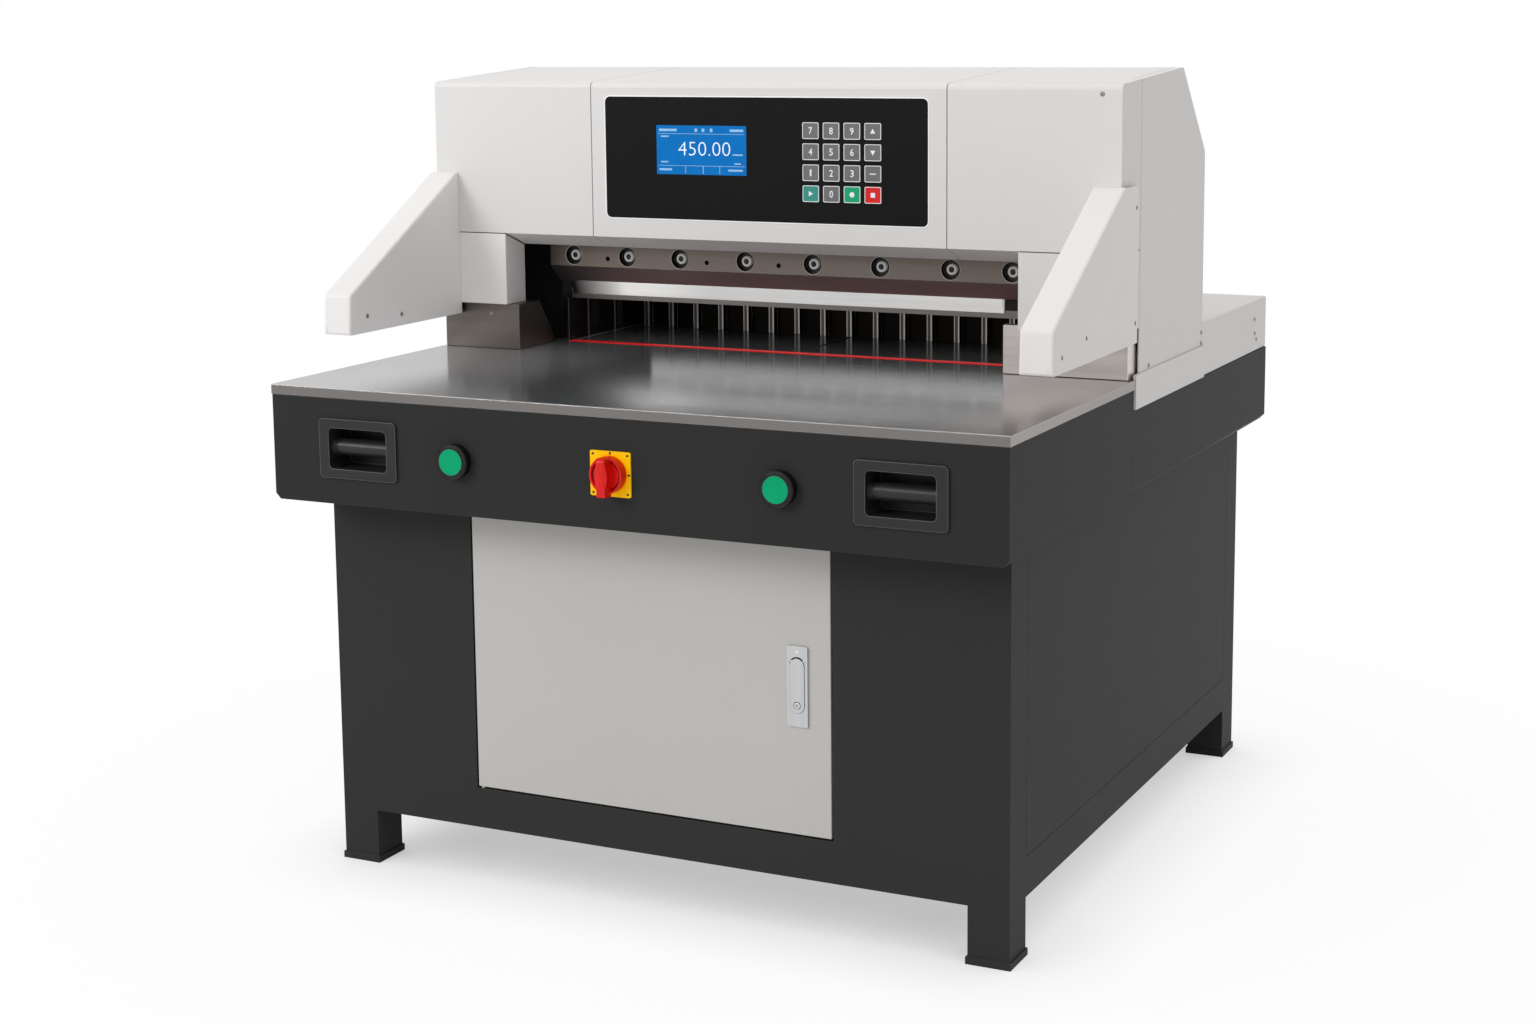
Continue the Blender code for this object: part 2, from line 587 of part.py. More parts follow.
def prism(name, outline, along, limits):
    """A flat outline pushed along an axis: points are (y, z) along x, (x, z) along y, (x, y) along z."""
    curve = bpy.data.curves.new(name, "CURVE")
    curve.dimensions = "2D"
    curve.fill_mode = "BOTH"
    curve.extrude = (limits[1] - limits[0]) / 2
    spline = curve.splines.new("POLY")
    spline.points.add(len(outline) - 1)
    for point, (across, up) in zip(spline.points, outline):
        point.co = (across, up, 0, 1)
    spline.use_cyclic_u = True
    sketch = bpy.data.objects.new(name + "_outline", curve)
    MACHINE.objects.link(sketch)
    bpy.context.view_layer.update()
    graph = bpy.context.evaluated_depsgraph_get()
    mesh = bpy.data.meshes.new_from_object(sketch.evaluated_get(graph))
    bpy.data.objects.remove(sketch, do_unlink=True)
    shape = bmesh.new()
    shape.from_mesh(mesh)
    bpy.data.meshes.remove(mesh)
    bmesh.ops.remove_doubles(shape, verts=shape.verts, dist=MERGE_DISTANCE)
    middle = sum(limits) / 2
    axes = {
        "x": ((0, 0, 1, middle), (1, 0, 0, 0), (0, 1, 0, 0), (0, 0, 0, 1)),
        "y": ((1, 0, 0, 0), (0, 0, -1, middle), (0, 1, 0, 0), (0, 0, 0, 1)),
        "z": ((1, 0, 0, 0), (0, 1, 0, 0), (0, 0, 1, middle), (0, 0, 0, 1)),
    }
    bmesh.ops.transform(shape, matrix=Matrix(axes[along]), verts=shape.verts)
    bmesh.ops.dissolve_limit(
        shape, angle_limit=MERGE_DISTANCE, verts=shape.verts, edges=shape.edges
    )
    return from_bmesh(name, shape)


def turned(name, profile, origin, along=(0, 0, 1), segments=ROUND_SEGMENTS):
    """A turned piece: (radius, height) points run down the outer side and are spun about the axis."""
    shape = bmesh.new()
    corners = [shape.verts.new((radius, 0, height)) for radius, height in profile]
    for start, end in zip(corners, corners[1:]):
        shape.edges.new((start, end))
    mesh = bpy.data.meshes.new(name)
    shape.to_mesh(mesh)
    shape.free()
    thing = new_object(name, mesh)
    spin = thing.modifiers.new("Spin", "SCREW")
    spin.axis = "Z"
    spin.steps = segments
    spin.render_steps = segments
    spin.use_merge_vertices = True
    spin.merge_threshold = MERGE_DISTANCE
    turn = Vector((0, 0, 1)).rotation_difference(Vector(along))
    thing.matrix_world = Matrix.Translation(origin) @ turn.to_matrix().to_4x4()
    return thing


def rounded_outline(low, high, radius, steps=4):
    """The outline of a rectangle with round corners, from its low corner to its high corner."""
    points = []
    corners = (
        (high[0] - radius, high[1] - radius, 0),
        (low[0] + radius, high[1] - radius, 1),
        (low[0] + radius, low[1] + radius, 2),
        (high[0] - radius, low[1] + radius, 3),
    )
    for across, up, quarter in corners:
        for step in range(steps + 1):
            angle = (quarter + step / steps) * math.pi / 2
            points.append((across + radius * math.cos(angle), up + radius * math.sin(angle)))
    return points


def stadium_outline(start, end, radius, steps=8):
    """The outline of a slot with round ends, from one end's centre to the other's."""
    heading = math.atan2(end[1] - start[1], end[0] - start[0])
    points = []
    for centre, turn in ((end, -math.pi / 2), (start, math.pi / 2)):
        for step in range(steps + 1):
            angle = heading + turn + math.pi * step / steps
            points.append((centre[0] + radius * math.cos(angle), centre[1] + radius * math.sin(angle)))
    return points


def softened(outline, radius, steps=3):
    """The outline with an arc of one radius at every corner."""
    points = []
    for index, corner in enumerate(outline):
        here = Vector(corner)
        before = (Vector(outline[index - 1]) - here).normalized()
        after = (Vector(outline[(index + 1) % len(outline)]) - here).normalized()
        half = before.angle(after) / 2
        centre = here + (before + after).normalized() * radius / math.sin(half)
        start = here + before * radius / math.tan(half) - centre
        end = here + after * radius / math.tan(half) - centre
        turn = math.atan2(start.x * end.y - start.y * end.x, start.dot(end))
        for step in range(steps + 1):
            points.append(tuple(centre + Matrix.Rotation(turn * step / steps, 2) @ start))
    return points


def tool(thing):
    """Sets a helper object aside as a cutter, which a render leaves out."""
    for collection in list(thing.users_collection):
        collection.objects.unlink(thing)
    CUTTERS.objects.link(thing)
    thing.hide_render = True
    thing.display_type = "WIRE"
    return thing


def combine(target, operation, helpers):
    for helper in helpers:
        step = target.modifiers.new(helper.name, "BOOLEAN")
        step.operation = operation
        step.solver = "EXACT"
        step.object = tool(helper)
    return target


def cut(target, *helpers):
    """Takes the helpers' shapes out of the target."""
    return combine(target, "DIFFERENCE", helpers)


def join(target, *helpers):
    """Welds the helpers' shapes to the target."""
    return combine(target, "UNION", helpers)


def keep(target, region):
    """Leaves only what lies inside the region."""
    return combine(target, "INTERSECT", [region])


def round_edges(target, radius, segments=BEVEL_SEGMENTS, angle=SHARP_ANGLE):
    """Rounds every edge of the target that is sharper than the angle."""
    step = target.modifiers.new("Round edges", "BEVEL")
    step.width = radius
    step.segments = segments
    step.limit_method = "ANGLE"
    step.angle_limit = angle
    return target


def freeze(target):
    """Turns the evaluated shape into a plain mesh with shared corners and placed at the origin."""
    bpy.context.view_layer.update()
    graph = bpy.context.evaluated_depsgraph_get()
    mesh = bpy.data.meshes.new_from_object(target.evaluated_get(graph))
    mesh.transform(target.matrix_world)
    target.modifiers.clear()
    target.data = mesh
    target.matrix_world = Matrix.Identity(4)
    shape = bmesh.new()
    shape.from_mesh(mesh)
    bmesh.ops.remove_doubles(shape, verts=shape.verts, dist=MERGE_DISTANCE)
    bmesh.ops.dissolve_degenerate(shape, edges=shape.edges, dist=MERGE_DISTANCE)
    shape.to_mesh(mesh)
    shape.free()
    return target


def finish(target, colour, roughness, metallic):
    """Freezes the piece, shades its round faces smooth and gives it a material of its own."""
    freeze(target)
    target.data.shade_smooth()
    target.data.set_sharp_from_angle(angle=SHARP_ANGLE)
    material = bpy.data.materials.new(target.name)
    material.use_nodes = True
    shader = material.node_tree.nodes["Principled BSDF"]
    shader.inputs["Base Color"].default_value = (*colour, 1)
    shader.inputs["Roughness"].default_value = roughness
    shader.inputs["Metallic"].default_value = metallic
    target.data.materials.clear()
    target.data.materials.append(material)
    return target


def white_paint(target):
    return finish(target, (0.80, 0.79, 0.77), 0.45, 0)


def charcoal_paint(target):
    return finish(target, (0.060, 0.062, 0.068), 0.5, 0)


def door_paint(target):
    return finish(target, (0.60, 0.58, 0.55), 0.5, 0)


def cast_paint(target):
    return finish(target, (0.10, 0.11, 0.12), 0.6, 0.3)


def ground_steel(target):
    return finish(target, (0.55, 0.53, 0.51), 0.28, 1)


def stainless(target):
    return finish(target, (0.62, 0.58, 0.54), 0.35, 1)


def black_plastic(target):
    return finish(target, (0.018, 0.018, 0.020), 0.4, 0)


def joint_axis(name, place, pieces):
    """An empty on a joint's axis, with the moving pieces as its children."""
    pivot = bpy.data.objects.new(name, None)
    pivot.location = place
    MACHINE.objects.link(pivot)
    for piece in pieces:
        piece.parent = pivot
        piece.matrix_parent_inverse = Matrix.Translation(place).inverted()
    return pivot


def sides(width, inset, size):
    """The x limits of a piece of one size, inset from both sides of a width: left, then right."""
    outer = width / 2 - inset
    return ((-outer, size - outer), (outer - size, outer))


def cabinet_corners(width, lap):
    """The x and y limits of the four legs, widened by a lap."""
    fronts = depth(CABINET_SETBACK - lap, CABINET_SETBACK + LEG_DEPTH + lap)
    backs = depth(CABINET_BACK_SETBACK - LEG_DEPTH - lap, CABINET_BACK_SETBACK + lap)
    left, right = sides(width, -lap, LEG_WIDTH + 2 * lap)
    return [(left, fronts), (right, fronts), (left, backs), (right, backs)]


def cabinet_shell():
    """The welded box: walls, floor tray and top plate with a well for the drives."""
    half = CABINET_WIDTH / 2
    shell = block(
        "cabinet_frame",
        (-half, half),
        depth(CABINET_SETBACK, CABINET_BACK_SETBACK),
        (LEG_CLEARANCE, BODY_TOP_Z),
    )
    inner = half - CABINET_SHEET
    cavity = block(
        "cabinet_cavity",
        (-inner, inner),
        depth(CABINET_SETBACK + CABINET_SHEET, CABINET_BACK_SETBACK - CABINET_SHEET),
        (LEG_CLEARANCE + TRAY_THICKNESS, BODY_TOP_Z - CABINET_TOP_PLATE),
    )
    well = block(
        "cabinet_well",
        around(0, CABINET_WELL_WIDTH),
        depth(CABINET_WELL_FRONT_SETBACK, CABINET_WELL_BACK_SETBACK),
        (BODY_TOP_Z - CABINET_TOP_PLATE - OVERRUN, BODY_TOP_Z + OVERRUN),
    )
    return cut(shell, cavity, well)


def door_limits(gap):
    """The x and z limits of the door, grown by a gap."""
    return (
        (DOOR_LEFT_X - gap, DOOR_RIGHT_X + gap),
        (DOOR_BOTTOM_Z - gap, DOOR_TOP_Z + gap),
    )


def door_pin_axis():
    return DOOR_LEFT_X + DOOR_PIN_INSET, at(CABINET_SETBACK + DOOR_PIN_INSET)


def make_cabinet():
    frame = cabinet_shell()
    rim_x, rim_z = door_limits(DOOR_GAP + RIM_THICKNESS)
    rim = block("door_rim", rim_x, depth(CABINET_SETBACK, CABINET_SETBACK + RIM_DEPTH), rim_z)
    join(frame, rim)
    hole_x, hole_z = door_limits(DOOR_GAP)
    doorway = block(
        "doorway",
        hole_x,
        depth(CABINET_SETBACK - OVERRUN, CABINET_SETBACK + RIM_DEPTH + OVERRUN),
        hole_z,
    )
    cut(frame, doorway)
    pin_x, pin_y = door_pin_axis()
    reach = DOOR_GAP + RIM_THICKNESS + OVERRUN
    pin_holes = rods(
        "door_pin_holes",
        [(pin_x, pin_y, DOOR_BOTTOM_Z - reach / 2), (pin_x, pin_y, DOOR_TOP_Z + reach / 2)],
        DOOR_PIN_RADIUS + DOOR_PIN_PLAY,
        reach,
        (0, 0, 1),
        SMALL_SEGMENTS,
    )
    cut(frame, pin_holes)
    for side in (-1, 1):
        wall = CABINET_WIDTH / 2
        recess = block(
            "panel_recess",
            sorted((side * (wall - PANEL_THICKNESS - FIT_GAP), side * (wall + OVERRUN))),
            depth(CABINET_SETBACK + LEG_DEPTH, CABINET_BACK_SETBACK - LEG_DEPTH),
            (PANEL_BOTTOM_Z, PANEL_TOP_Z),
        )
        hatch = block(
            "panel_hatch",
            sorted((side * (wall - CABINET_SHEET - OVERRUN), side * (wall + OVERRUN))),
            depth(
                CABINET_SETBACK + LEG_DEPTH + PANEL_FLANGE,
                CABINET_BACK_SETBACK - LEG_DEPTH - PANEL_FLANGE,
            ),
            (PANEL_BOTTOM_Z + PANEL_FLANGE, PANEL_TOP_Z - PANEL_FLANGE),
        )
        cut(frame, recess, hatch)
    vents = blocks(
        "vents",
        [
            (
                around(0, VENT_WIDTH),
                depth(CABINET_BACK_SETBACK - CABINET_SHEET - OVERRUN, CABINET_BACK_SETBACK + OVERRUN),
                around(VENT_LOW_Z + step * VENT_PITCH, VENT_HEIGHT),
            )
            for step in range(VENT_COUNT)
        ],
    )
    cut(frame, vents)
    for x, y in cabinet_corners(CABINET_WIDTH, 0):
        leg = block("leg", x, y, (CAP_HEIGHT - WELD_LAP / 2, LEG_CLEARANCE + TRAY_THICKNESS / 2))
        join(frame, leg)
    for x, y in cabinet_corners(CABINET_WIDTH, CAP_LIP):
        cap = block("foot_cap", x, y, (0, CAP_HEIGHT))
        join(frame, cap)
    gland_y = at(CABINET_BACK_SETBACK + GLAND_LENGTH / 2 - WELD_LAP / 2)
    gland = rod(
        "cable_gland",
        (GLAND_X, gland_y, GLAND_Z),
        GLAND_RADIUS,
        GLAND_LENGTH + WELD_LAP,
        (0, 1, 0),
        SMALL_SEGMENTS,
    )
    join(frame, gland)
    bore = rod(
        "gland_bore",
        (GLAND_X, gland_y, GLAND_Z),
        GLAND_BORE_RADIUS,
        GLAND_LENGTH + CABINET_SHEET + 2 * OVERRUN,
        (0, 1, 0),
        SMALL_SEGMENTS,
    )
    cut(frame, bore)
    return charcoal_paint(frame)


def make_side_panels():
    for name, side in (("side_panel_left", -1), ("side_panel_right", 1)):
        wall = CABINET_WIDTH / 2
        panel = block(
            name,
            sorted((side * (wall - PANEL_THICKNESS), side * wall)),
            depth(
                CABINET_SETBACK + LEG_DEPTH + PANEL_MARGIN,
                CABINET_BACK_SETBACK - LEG_DEPTH - PANEL_MARGIN,
            ),
            (PANEL_BOTTOM_Z + PANEL_MARGIN, PANEL_TOP_Z - PANEL_MARGIN),
        )
        charcoal_paint(panel)


def channel_outline(width, bottom, top):
    """The front view of the apron and the skirt, with clipped lower corners."""
    half = width / 2
    return [
        (-half, top),
        (-half, bottom + APRON_CHAMFER),
        (-half + APRON_CHAMFER, bottom),
        (half - APRON_CHAMFER, bottom),
        (half, bottom + APRON_CHAMFER),
        (half, top),
    ]


def channel(name, front, back, hollow_front, hollow_back, top):
    """A folded channel round the cabinet, with a floor that meets the cabinet's walls."""
    shell = prism(name, channel_outline(BODY_WIDTH, APRON_BOTTOM_Z, top), "y", depth(front, back))
    hollow = prism(
        name + "_hollow",
        channel_outline(BODY_WIDTH - 2 * APRON_SHEET, APRON_BOTTOM_Z + APRON_SHEET, top + OVERRUN),
        "y",
        depth(hollow_front, hollow_back),
    )
    socket = block(
        name + "_socket",
        around(0, CABINET_WIDTH + 2 * FIT_GAP),
        depth(CABINET_SETBACK - FIT_GAP, CABINET_BACK_SETBACK + FIT_GAP),
        (APRON_BOTTOM_Z - OVERRUN, APRON_BOTTOM_Z + APRON_SHEET + OVERRUN),
    )
    return cut(shell, hollow, socket)


def grip_places():
    return (("left", GRIP_LEFT_X), ("right", GRIP_RIGHT_X))


def cut_button_places():
    return (("left", CUT_BUTTON_LEFT_X), ("right", CUT_BUTTON_RIGHT_X))


def make_apron():
    apron = channel(
        "front_apron",
        0,
        APRON_DEPTH,
        APRON_SHEET,
        APRON_DEPTH + OVERRUN,
        BODY_TOP_Z,
    )
    through = depth(-OVERRUN, APRON_SHEET + OVERRUN)
    for side, x in grip_places():
        wide = GRIP_OPENING_WIDTH + 2 * GRIP_WALL + 2 * SEAM
        high = GRIP_OPENING_HEIGHT + 2 * GRIP_WALL + 2 * SEAM
        cut(apron, block("grip_hole_" + side, around(x, wide), through, around(GRIP_Z, high)))
    holes = [(x, at(0), CONTROL_Z) for side, x in cut_button_places()]
    cut(apron, rods("barrel_holes", holes, BEZEL_BARREL_RADIUS + FIT_GAP, 2 * OVERRUN, (0, 1, 0)))
    shaft_place = (SWITCH_X, at(0), CONTROL_Z)
    cut(apron, rod("shaft_hole", shaft_place, SWITCH_SHAFT_RADIUS + SEAM, 2 * OVERRUN, (0, 1, 0)))
    return charcoal_paint(apron)


def make_skirt():
    skirt = channel(
        "rear_skirt",
        APRON_DEPTH + SEAM,
        BODY_DEPTH,
        APRON_DEPTH - OVERRUN,
        BODY_DEPTH - APRON_SHEET,
        SKIRT_TOP_Z,
    )
    return charcoal_paint(skirt)


def latch_middle_z():
    return LATCH_BOTTOM_Z + LATCH_HEIGHT / 2


def latch_pocket_z():
    low = LATCH_BOTTOM_Z + LATCH_POCKET_OFFSET
    return (low, low + LATCH_POCKET_HEIGHT)


def latch_face_setback():
    return CABINET_SETBACK - FIT_GAP - LATCH_PLATE_THICKNESS


def lock_z():
    return latch_pocket_z()[0] + LOCK_RISE


def make_door():
    """The folded door pan with its two pivot pins and the hole for the latch body."""
    x, z = door_limits(0)
    door = block("cabinet_door", x, depth(CABINET_SETBACK, CABINET_SETBACK + DOOR_THICKNESS), z)
    inner_x, inner_z = door_limits(-DOOR_SHEET)
    pan = block(
        "door_pan",
        inner_x,
        depth(CABINET_SETBACK + DOOR_SHEET, CABINET_SETBACK + DOOR_THICKNESS + OVERRUN),
        inner_z,
    )
    cut(door, pan)
    pin_x, pin_y = door_pin_axis()
    reach = DOOR_GAP + RIM_THICKNESS - DOOR_PIN_PLAY
    for name, start, end in (
        ("low_pin", DOOR_BOTTOM_Z - reach, DOOR_BOTTOM_Z + DOOR_SHEET),
        ("high_pin", DOOR_TOP_Z - DOOR_SHEET, DOOR_TOP_Z + reach),
    ):
        middle = (pin_x, pin_y, (start + end) / 2)
        join(door, rod(name, middle, DOOR_PIN_RADIUS, end - start, (0, 0, 1), SMALL_SEGMENTS))
    latch_hole = block(
        "latch_hole",
        around(LATCH_X, LATCH_WIDTH - 2 * LATCH_BODY_MARGIN + 2 * FIT_GAP),
        depth(CABINET_SETBACK - OVERRUN, CABINET_SETBACK + DOOR_SHEET + OVERRUN),
        around(latch_middle_z(), LATCH_HEIGHT - 2 * LATCH_BODY_MARGIN + 2 * FIT_GAP),
    )
    cut(door, latch_hole)
    return door_paint(door)


def latch_pivot():
    """The swing handle's hinge line: x, y and z of its middle."""
    setback = latch_face_setback() - LATCH_HANDLE_PROUD + LATCH_HANDLE_THICKNESS / 2
    return (LATCH_X, at(setback), latch_pocket_z()[1] - LATCH_HANDLE_HEAD_GAP - LATCH_PIVOT_INSET)


def make_latch_housing():
    face = latch_face_setback()
    low = (LATCH_X - LATCH_WIDTH / 2, LATCH_BOTTOM_Z)
    high = (LATCH_X + LATCH_WIDTH / 2, LATCH_BOTTOM_Z + LATCH_HEIGHT)
    housing = prism(
        "latch_housing",
        rounded_outline(low, high, LATCH_BODY_MARGIN),
        "y",
        depth(face, face + LATCH_PLATE_THICKNESS),
    )
    body = block(
        "latch_body",
        around(LATCH_X, LATCH_WIDTH - 2 * LATCH_BODY_MARGIN),
        depth(face + LATCH_PLATE_THICKNESS - WELD_LAP, face + LATCH_PLATE_THICKNESS + LATCH_BODY_DEPTH),
        around(latch_middle_z(), LATCH_HEIGHT - 2 * LATCH_BODY_MARGIN),
    )
    join(housing, body)
    pocket_low, pocket_high = latch_pocket_z()
    radius = LATCH_POCKET_WIDTH / 2
    outline = stadium_outline((LATCH_X, pocket_low + radius), (LATCH_X, pocket_high - radius), radius)
    pocket = prism("latch_pocket", outline, "y", depth(face - OVERRUN, face + LATCH_POCKET_DEPTH))
    x, y, z = latch_pivot()
    pin_hole = rod(
        "latch_pin_hole",
        (x, y, z),
        LATCH_PIN_RADIUS + LATCH_PIN_PLAY,
        LATCH_POCKET_WIDTH + 2 * (LATCH_PIN_REACH + LATCH_PIN_PLAY),
        (1, 0, 0),
        SMALL_SEGMENTS,
    )
    bore = rod(
        "lock_bore",
        (LATCH_X, at(face), lock_z()),
        LOCK_RADIUS + FIT_GAP,
        2 * (LATCH_PLATE_THICKNESS + LATCH_BODY_DEPTH + OVERRUN),
        (0, 1, 0),
        SMALL_SEGMENTS,
    )
    cut(housing, pocket, pin_hole, bore)
    return finish(housing, (0.62, 0.63, 0.64), 0.35, 0.9)


def make_latch_handle():
    """The paddle that lies in the housing, with its cross pin and the hole round the lock."""
    face = latch_face_setback() - LATCH_HANDLE_PROUD
    pocket_low, pocket_high = latch_pocket_z()
    radius = LATCH_POCKET_WIDTH / 2 - LATCH_HANDLE_GAP
    low = pocket_low + LATCH_HANDLE_GAP + radius
    high = pocket_high - LATCH_HANDLE_HEAD_GAP - radius
    outline = stadium_outline((LATCH_X, low), (LATCH_X, high), radius)
    handle = prism("latch_handle", outline, "y", depth(face, face + LATCH_HANDLE_THICKNESS))
    pin_length = LATCH_POCKET_WIDTH + 2 * LATCH_PIN_REACH
    join(handle, rod("latch_pin", latch_pivot(), LATCH_PIN_RADIUS, pin_length, (1, 0, 0), SMALL_SEGMENTS))
    bore = rod(
        "handle_bore",
        (LATCH_X, at(face), lock_z()),
        LOCK_RADIUS + LOCK_HOLE_GAP,
        2 * (LATCH_HANDLE_THICKNESS + OVERRUN),
        (0, 1, 0),
        SMALL_SEGMENTS,
    )
    cut(handle, bore)
    return finish(handle, (0.66, 0.67, 0.68), 0.3, 0.9)


def cam_setbacks():
    """The cam lies just behind the door frame's rim."""
    front = CABINET_SETBACK + RIM_DEPTH + SLIDE_GAP
    return front, front + LOCK_CAM_THICKNESS


def make_lock():
    """The lock plug and the cam on its inner end, which hangs down when unlocked."""
    front = latch_face_setback() - LATCH_HANDLE_PROUD
    back = cam_setbacks()[0] - FIT_GAP
    middle = (LATCH_X, at((front + back) / 2), lock_z())
    plug = rod("latch_plug", middle, LOCK_RADIUS, back - front, (0, 1, 0), SMALL_SEGMENTS)
    finish(plug, (0.70, 0.70, 0.70), 0.25, 1)
    radius = LOCK_CAM_WIDTH / 2
    tip = lock_z() - LOCK_CAM_LENGTH + radius
    outline = stadium_outline((LATCH_X, lock_z()), (LATCH_X, tip), radius)
    cam = prism("latch_cam", outline, "y", depth(*cam_setbacks()))
    ground_steel(cam)
    return plug, cam


def make_grip(side, x):
    """A hand recess: frame, cup and the round bar across it."""
    frame = prism(
        "handle_recess_" + side,
        rounded_outline(
            (x - GRIP_FRAME_WIDTH / 2, GRIP_Z - GRIP_FRAME_HEIGHT / 2),
            (x + GRIP_FRAME_WIDTH / 2, GRIP_Z + GRIP_FRAME_HEIGHT / 2),
            GRIP_CORNER_RADIUS,
        ),
        "y",
        depth(-FIT_GAP - GRIP_FRAME_THICKNESS, -FIT_GAP),
    )
    wide = GRIP_OPENING_WIDTH + 2 * GRIP_WALL
    high = GRIP_OPENING_HEIGHT + 2 * GRIP_WALL
    cup = block(
        "grip_cup_" + side,
        around(x, wide),
        depth(-FIT_GAP - GRIP_FRAME_THICKNESS / 2, GRIP_DEPTH),
        around(GRIP_Z, high),
    )
    join(frame, cup)
    hollow = prism(
        "grip_hollow_" + side,
        rounded_outline(
            (x - GRIP_OPENING_WIDTH / 2, GRIP_Z - GRIP_OPENING_HEIGHT / 2),
            (x + GRIP_OPENING_WIDTH / 2, GRIP_Z + GRIP_OPENING_HEIGHT / 2),
            GRIP_CORNER_RADIUS,
        ),
        "y",
        depth(-FIT_GAP - GRIP_FRAME_THICKNESS - OVERRUN, GRIP_DEPTH - GRIP_WALL),
    )
    cut(frame, hollow)
    middle = (x, at(GRIP_BAR_SETBACK), GRIP_Z)
    join(frame, rod("grip_bar_" + side, middle, GRIP_BAR_RADIUS, GRIP_OPENING_WIDTH + GRIP_WALL, (1, 0, 0)))
    return black_plastic(frame)


def make_bezel(side, x):
    """A button's bezel and barrel, turned about the push axis, with a stepped bore."""
    seat = FIT_GAP
    inner = BEZEL_RADIUS - BEZEL_LIP
    profile = [
        (inner, BEZEL_STANDOUT + seat),
        (BEZEL_RADIUS - BEZEL_LIP / 2, BEZEL_STANDOUT + seat),
        (BEZEL_RADIUS, BEZEL_STANDOUT + seat - BEZEL_LIP / 2),
        (BEZEL_RADIUS, seat),
        (BEZEL_BARREL_RADIUS, seat),
        (BEZEL_BARREL_RADIUS, -BEZEL_BARREL_LENGTH),
        (BUTTON_STEM_RADIUS + SLIDE_GAP, -BEZEL_BARREL_LENGTH),
        (BUTTON_STEM_RADIUS + SLIDE_GAP, seat + BEZEL_FLOOR),
        (inner, seat + BEZEL_FLOOR),
        (inner, BEZEL_STANDOUT + seat),
    ]
    bezel = turned("cut_button_bezel_" + side, profile, (x, at(0), CONTROL_Z), (0, -1, 0))
    return black_plastic(bezel)


def make_cut_button(side, x):
    """A push button with its stem, which runs in the bezel's bore."""
    radius = BEZEL_RADIUS - BEZEL_LIP - SLIDE_GAP
    top = BEZEL_STANDOUT + BUTTON_CROWN
    low = FIT_GAP + BEZEL_FLOOR + BUTTON_TRAVEL + SLIDE_GAP
    profile = [
        (0, top),
        (radius - BUTTON_CROWN, top),
        (radius, top - BUTTON_CROWN),
        (radius, low),
        (BUTTON_STEM_RADIUS, low),
        (BUTTON_STEM_RADIUS, low - BUTTON_STEM_LENGTH),
        (0, low - BUTTON_STEM_LENGTH),
    ]
    button = turned("cut_button_" + side, profile, (x, at(0), CONTROL_Z), (0, -1, 0))
    finish(button, (0.01, 0.42, 0.20), 0.35, 0)
    joint_axis("cut_button_axis_" + side, (x, at(0), CONTROL_Z), [button])
    return button


def make_switch():
    """The yellow plate and the red knob with its grip and shaft."""
    half = SWITCH_PLATE_SIZE / 2
    plate = prism(
        "switch_plate",
        rounded_outline(
            (SWITCH_X - half, CONTROL_Z - half),
            (SWITCH_X + half, CONTROL_Z + half),
            SWITCH_PLATE_THICKNESS,
        ),
        "y",
        depth(-FIT_GAP - SWITCH_PLATE_THICKNESS, -FIT_GAP),
    )
    centre = (SWITCH_X, at(0), CONTROL_Z)
    cut(plate, rod("plate_hole", centre, SWITCH_SHAFT_RADIUS + FIT_GAP, 2 * OVERRUN, (0, 1, 0)))
    finish(plate, (0.90, 0.62, 0.02), 0.4, 0)
    base = 2 * FIT_GAP + SWITCH_PLATE_THICKNESS
    edge = SWITCH_KNOB_THICKNESS / 4
    profile = [
        (0, base + SWITCH_KNOB_THICKNESS),
        (SWITCH_KNOB_RADIUS - edge, base + SWITCH_KNOB_THICKNESS),
        (SWITCH_KNOB_RADIUS, base + SWITCH_KNOB_THICKNESS - edge),
        (SWITCH_KNOB_RADIUS, base),
        (SWITCH_SHAFT_RADIUS, base),
        (SWITCH_SHAFT_RADIUS, base - SWITCH_SHAFT_LENGTH),
        (0, base - SWITCH_SHAFT_LENGTH),
    ]
    knob = turned("power_switch_knob", profile, centre, (0, -1, 0))
    freeze(knob)
    lap = SWITCH_KNOB_THICKNESS / 2
    grip = block(
        "knob_grip",
        around(SWITCH_X, SWITCH_GRIP_WIDTH),
        depth(-base - SWITCH_KNOB_HEIGHT, -base - lap),
        around(CONTROL_Z, 2 * (SWITCH_KNOB_RADIUS - edge)),
    )
    round_edges(grip, SWITCH_GRIP_WIDTH / 6)
    join(knob, grip)
    finish(knob, (0.75, 0.02, 0.02), 0.35, 0)
    joint_axis("power_switch_axis", centre, [knob])


def make_controls():
    for side, x in grip_places():
        make_grip(side, x)
    for side, x in cut_button_places():
        make_bezel(side, x)
        make_cut_button(side, x)
    make_switch()


def table_outline():
    """The plan of the table: wide in front, waisted between the columns, narrow behind."""
    half = TABLE_WIDTH / 2
    waist = TABLE_WAIST_WIDTH / 2
    left = LAY_LEFT_X - LAY_THICKNESS
    right = LAY_RIGHT_X + LAY_THICKNESS
    return [
        (-half, at(-TABLE_OVERHANG)),
        (half, at(-TABLE_OVERHANG)),
        (half, at(TABLE_FRONT_DEPTH)),
        (waist, at(TABLE_FRONT_DEPTH)),
        (waist, at(TABLE_WAIST_DEPTH)),
        (right, at(TABLE_WAIST_DEPTH)),
        (right, at(TABLE_BACK_SETBACK)),
        (left, at(TABLE_BACK_SETBACK)),
        (left, at(TABLE_WAIST_DEPTH)),
        (-waist, at(TABLE_WAIST_DEPTH)),
        (-waist, at(TABLE_FRONT_DEPTH)),
        (-half, at(TABLE_FRONT_DEPTH)),
    ]


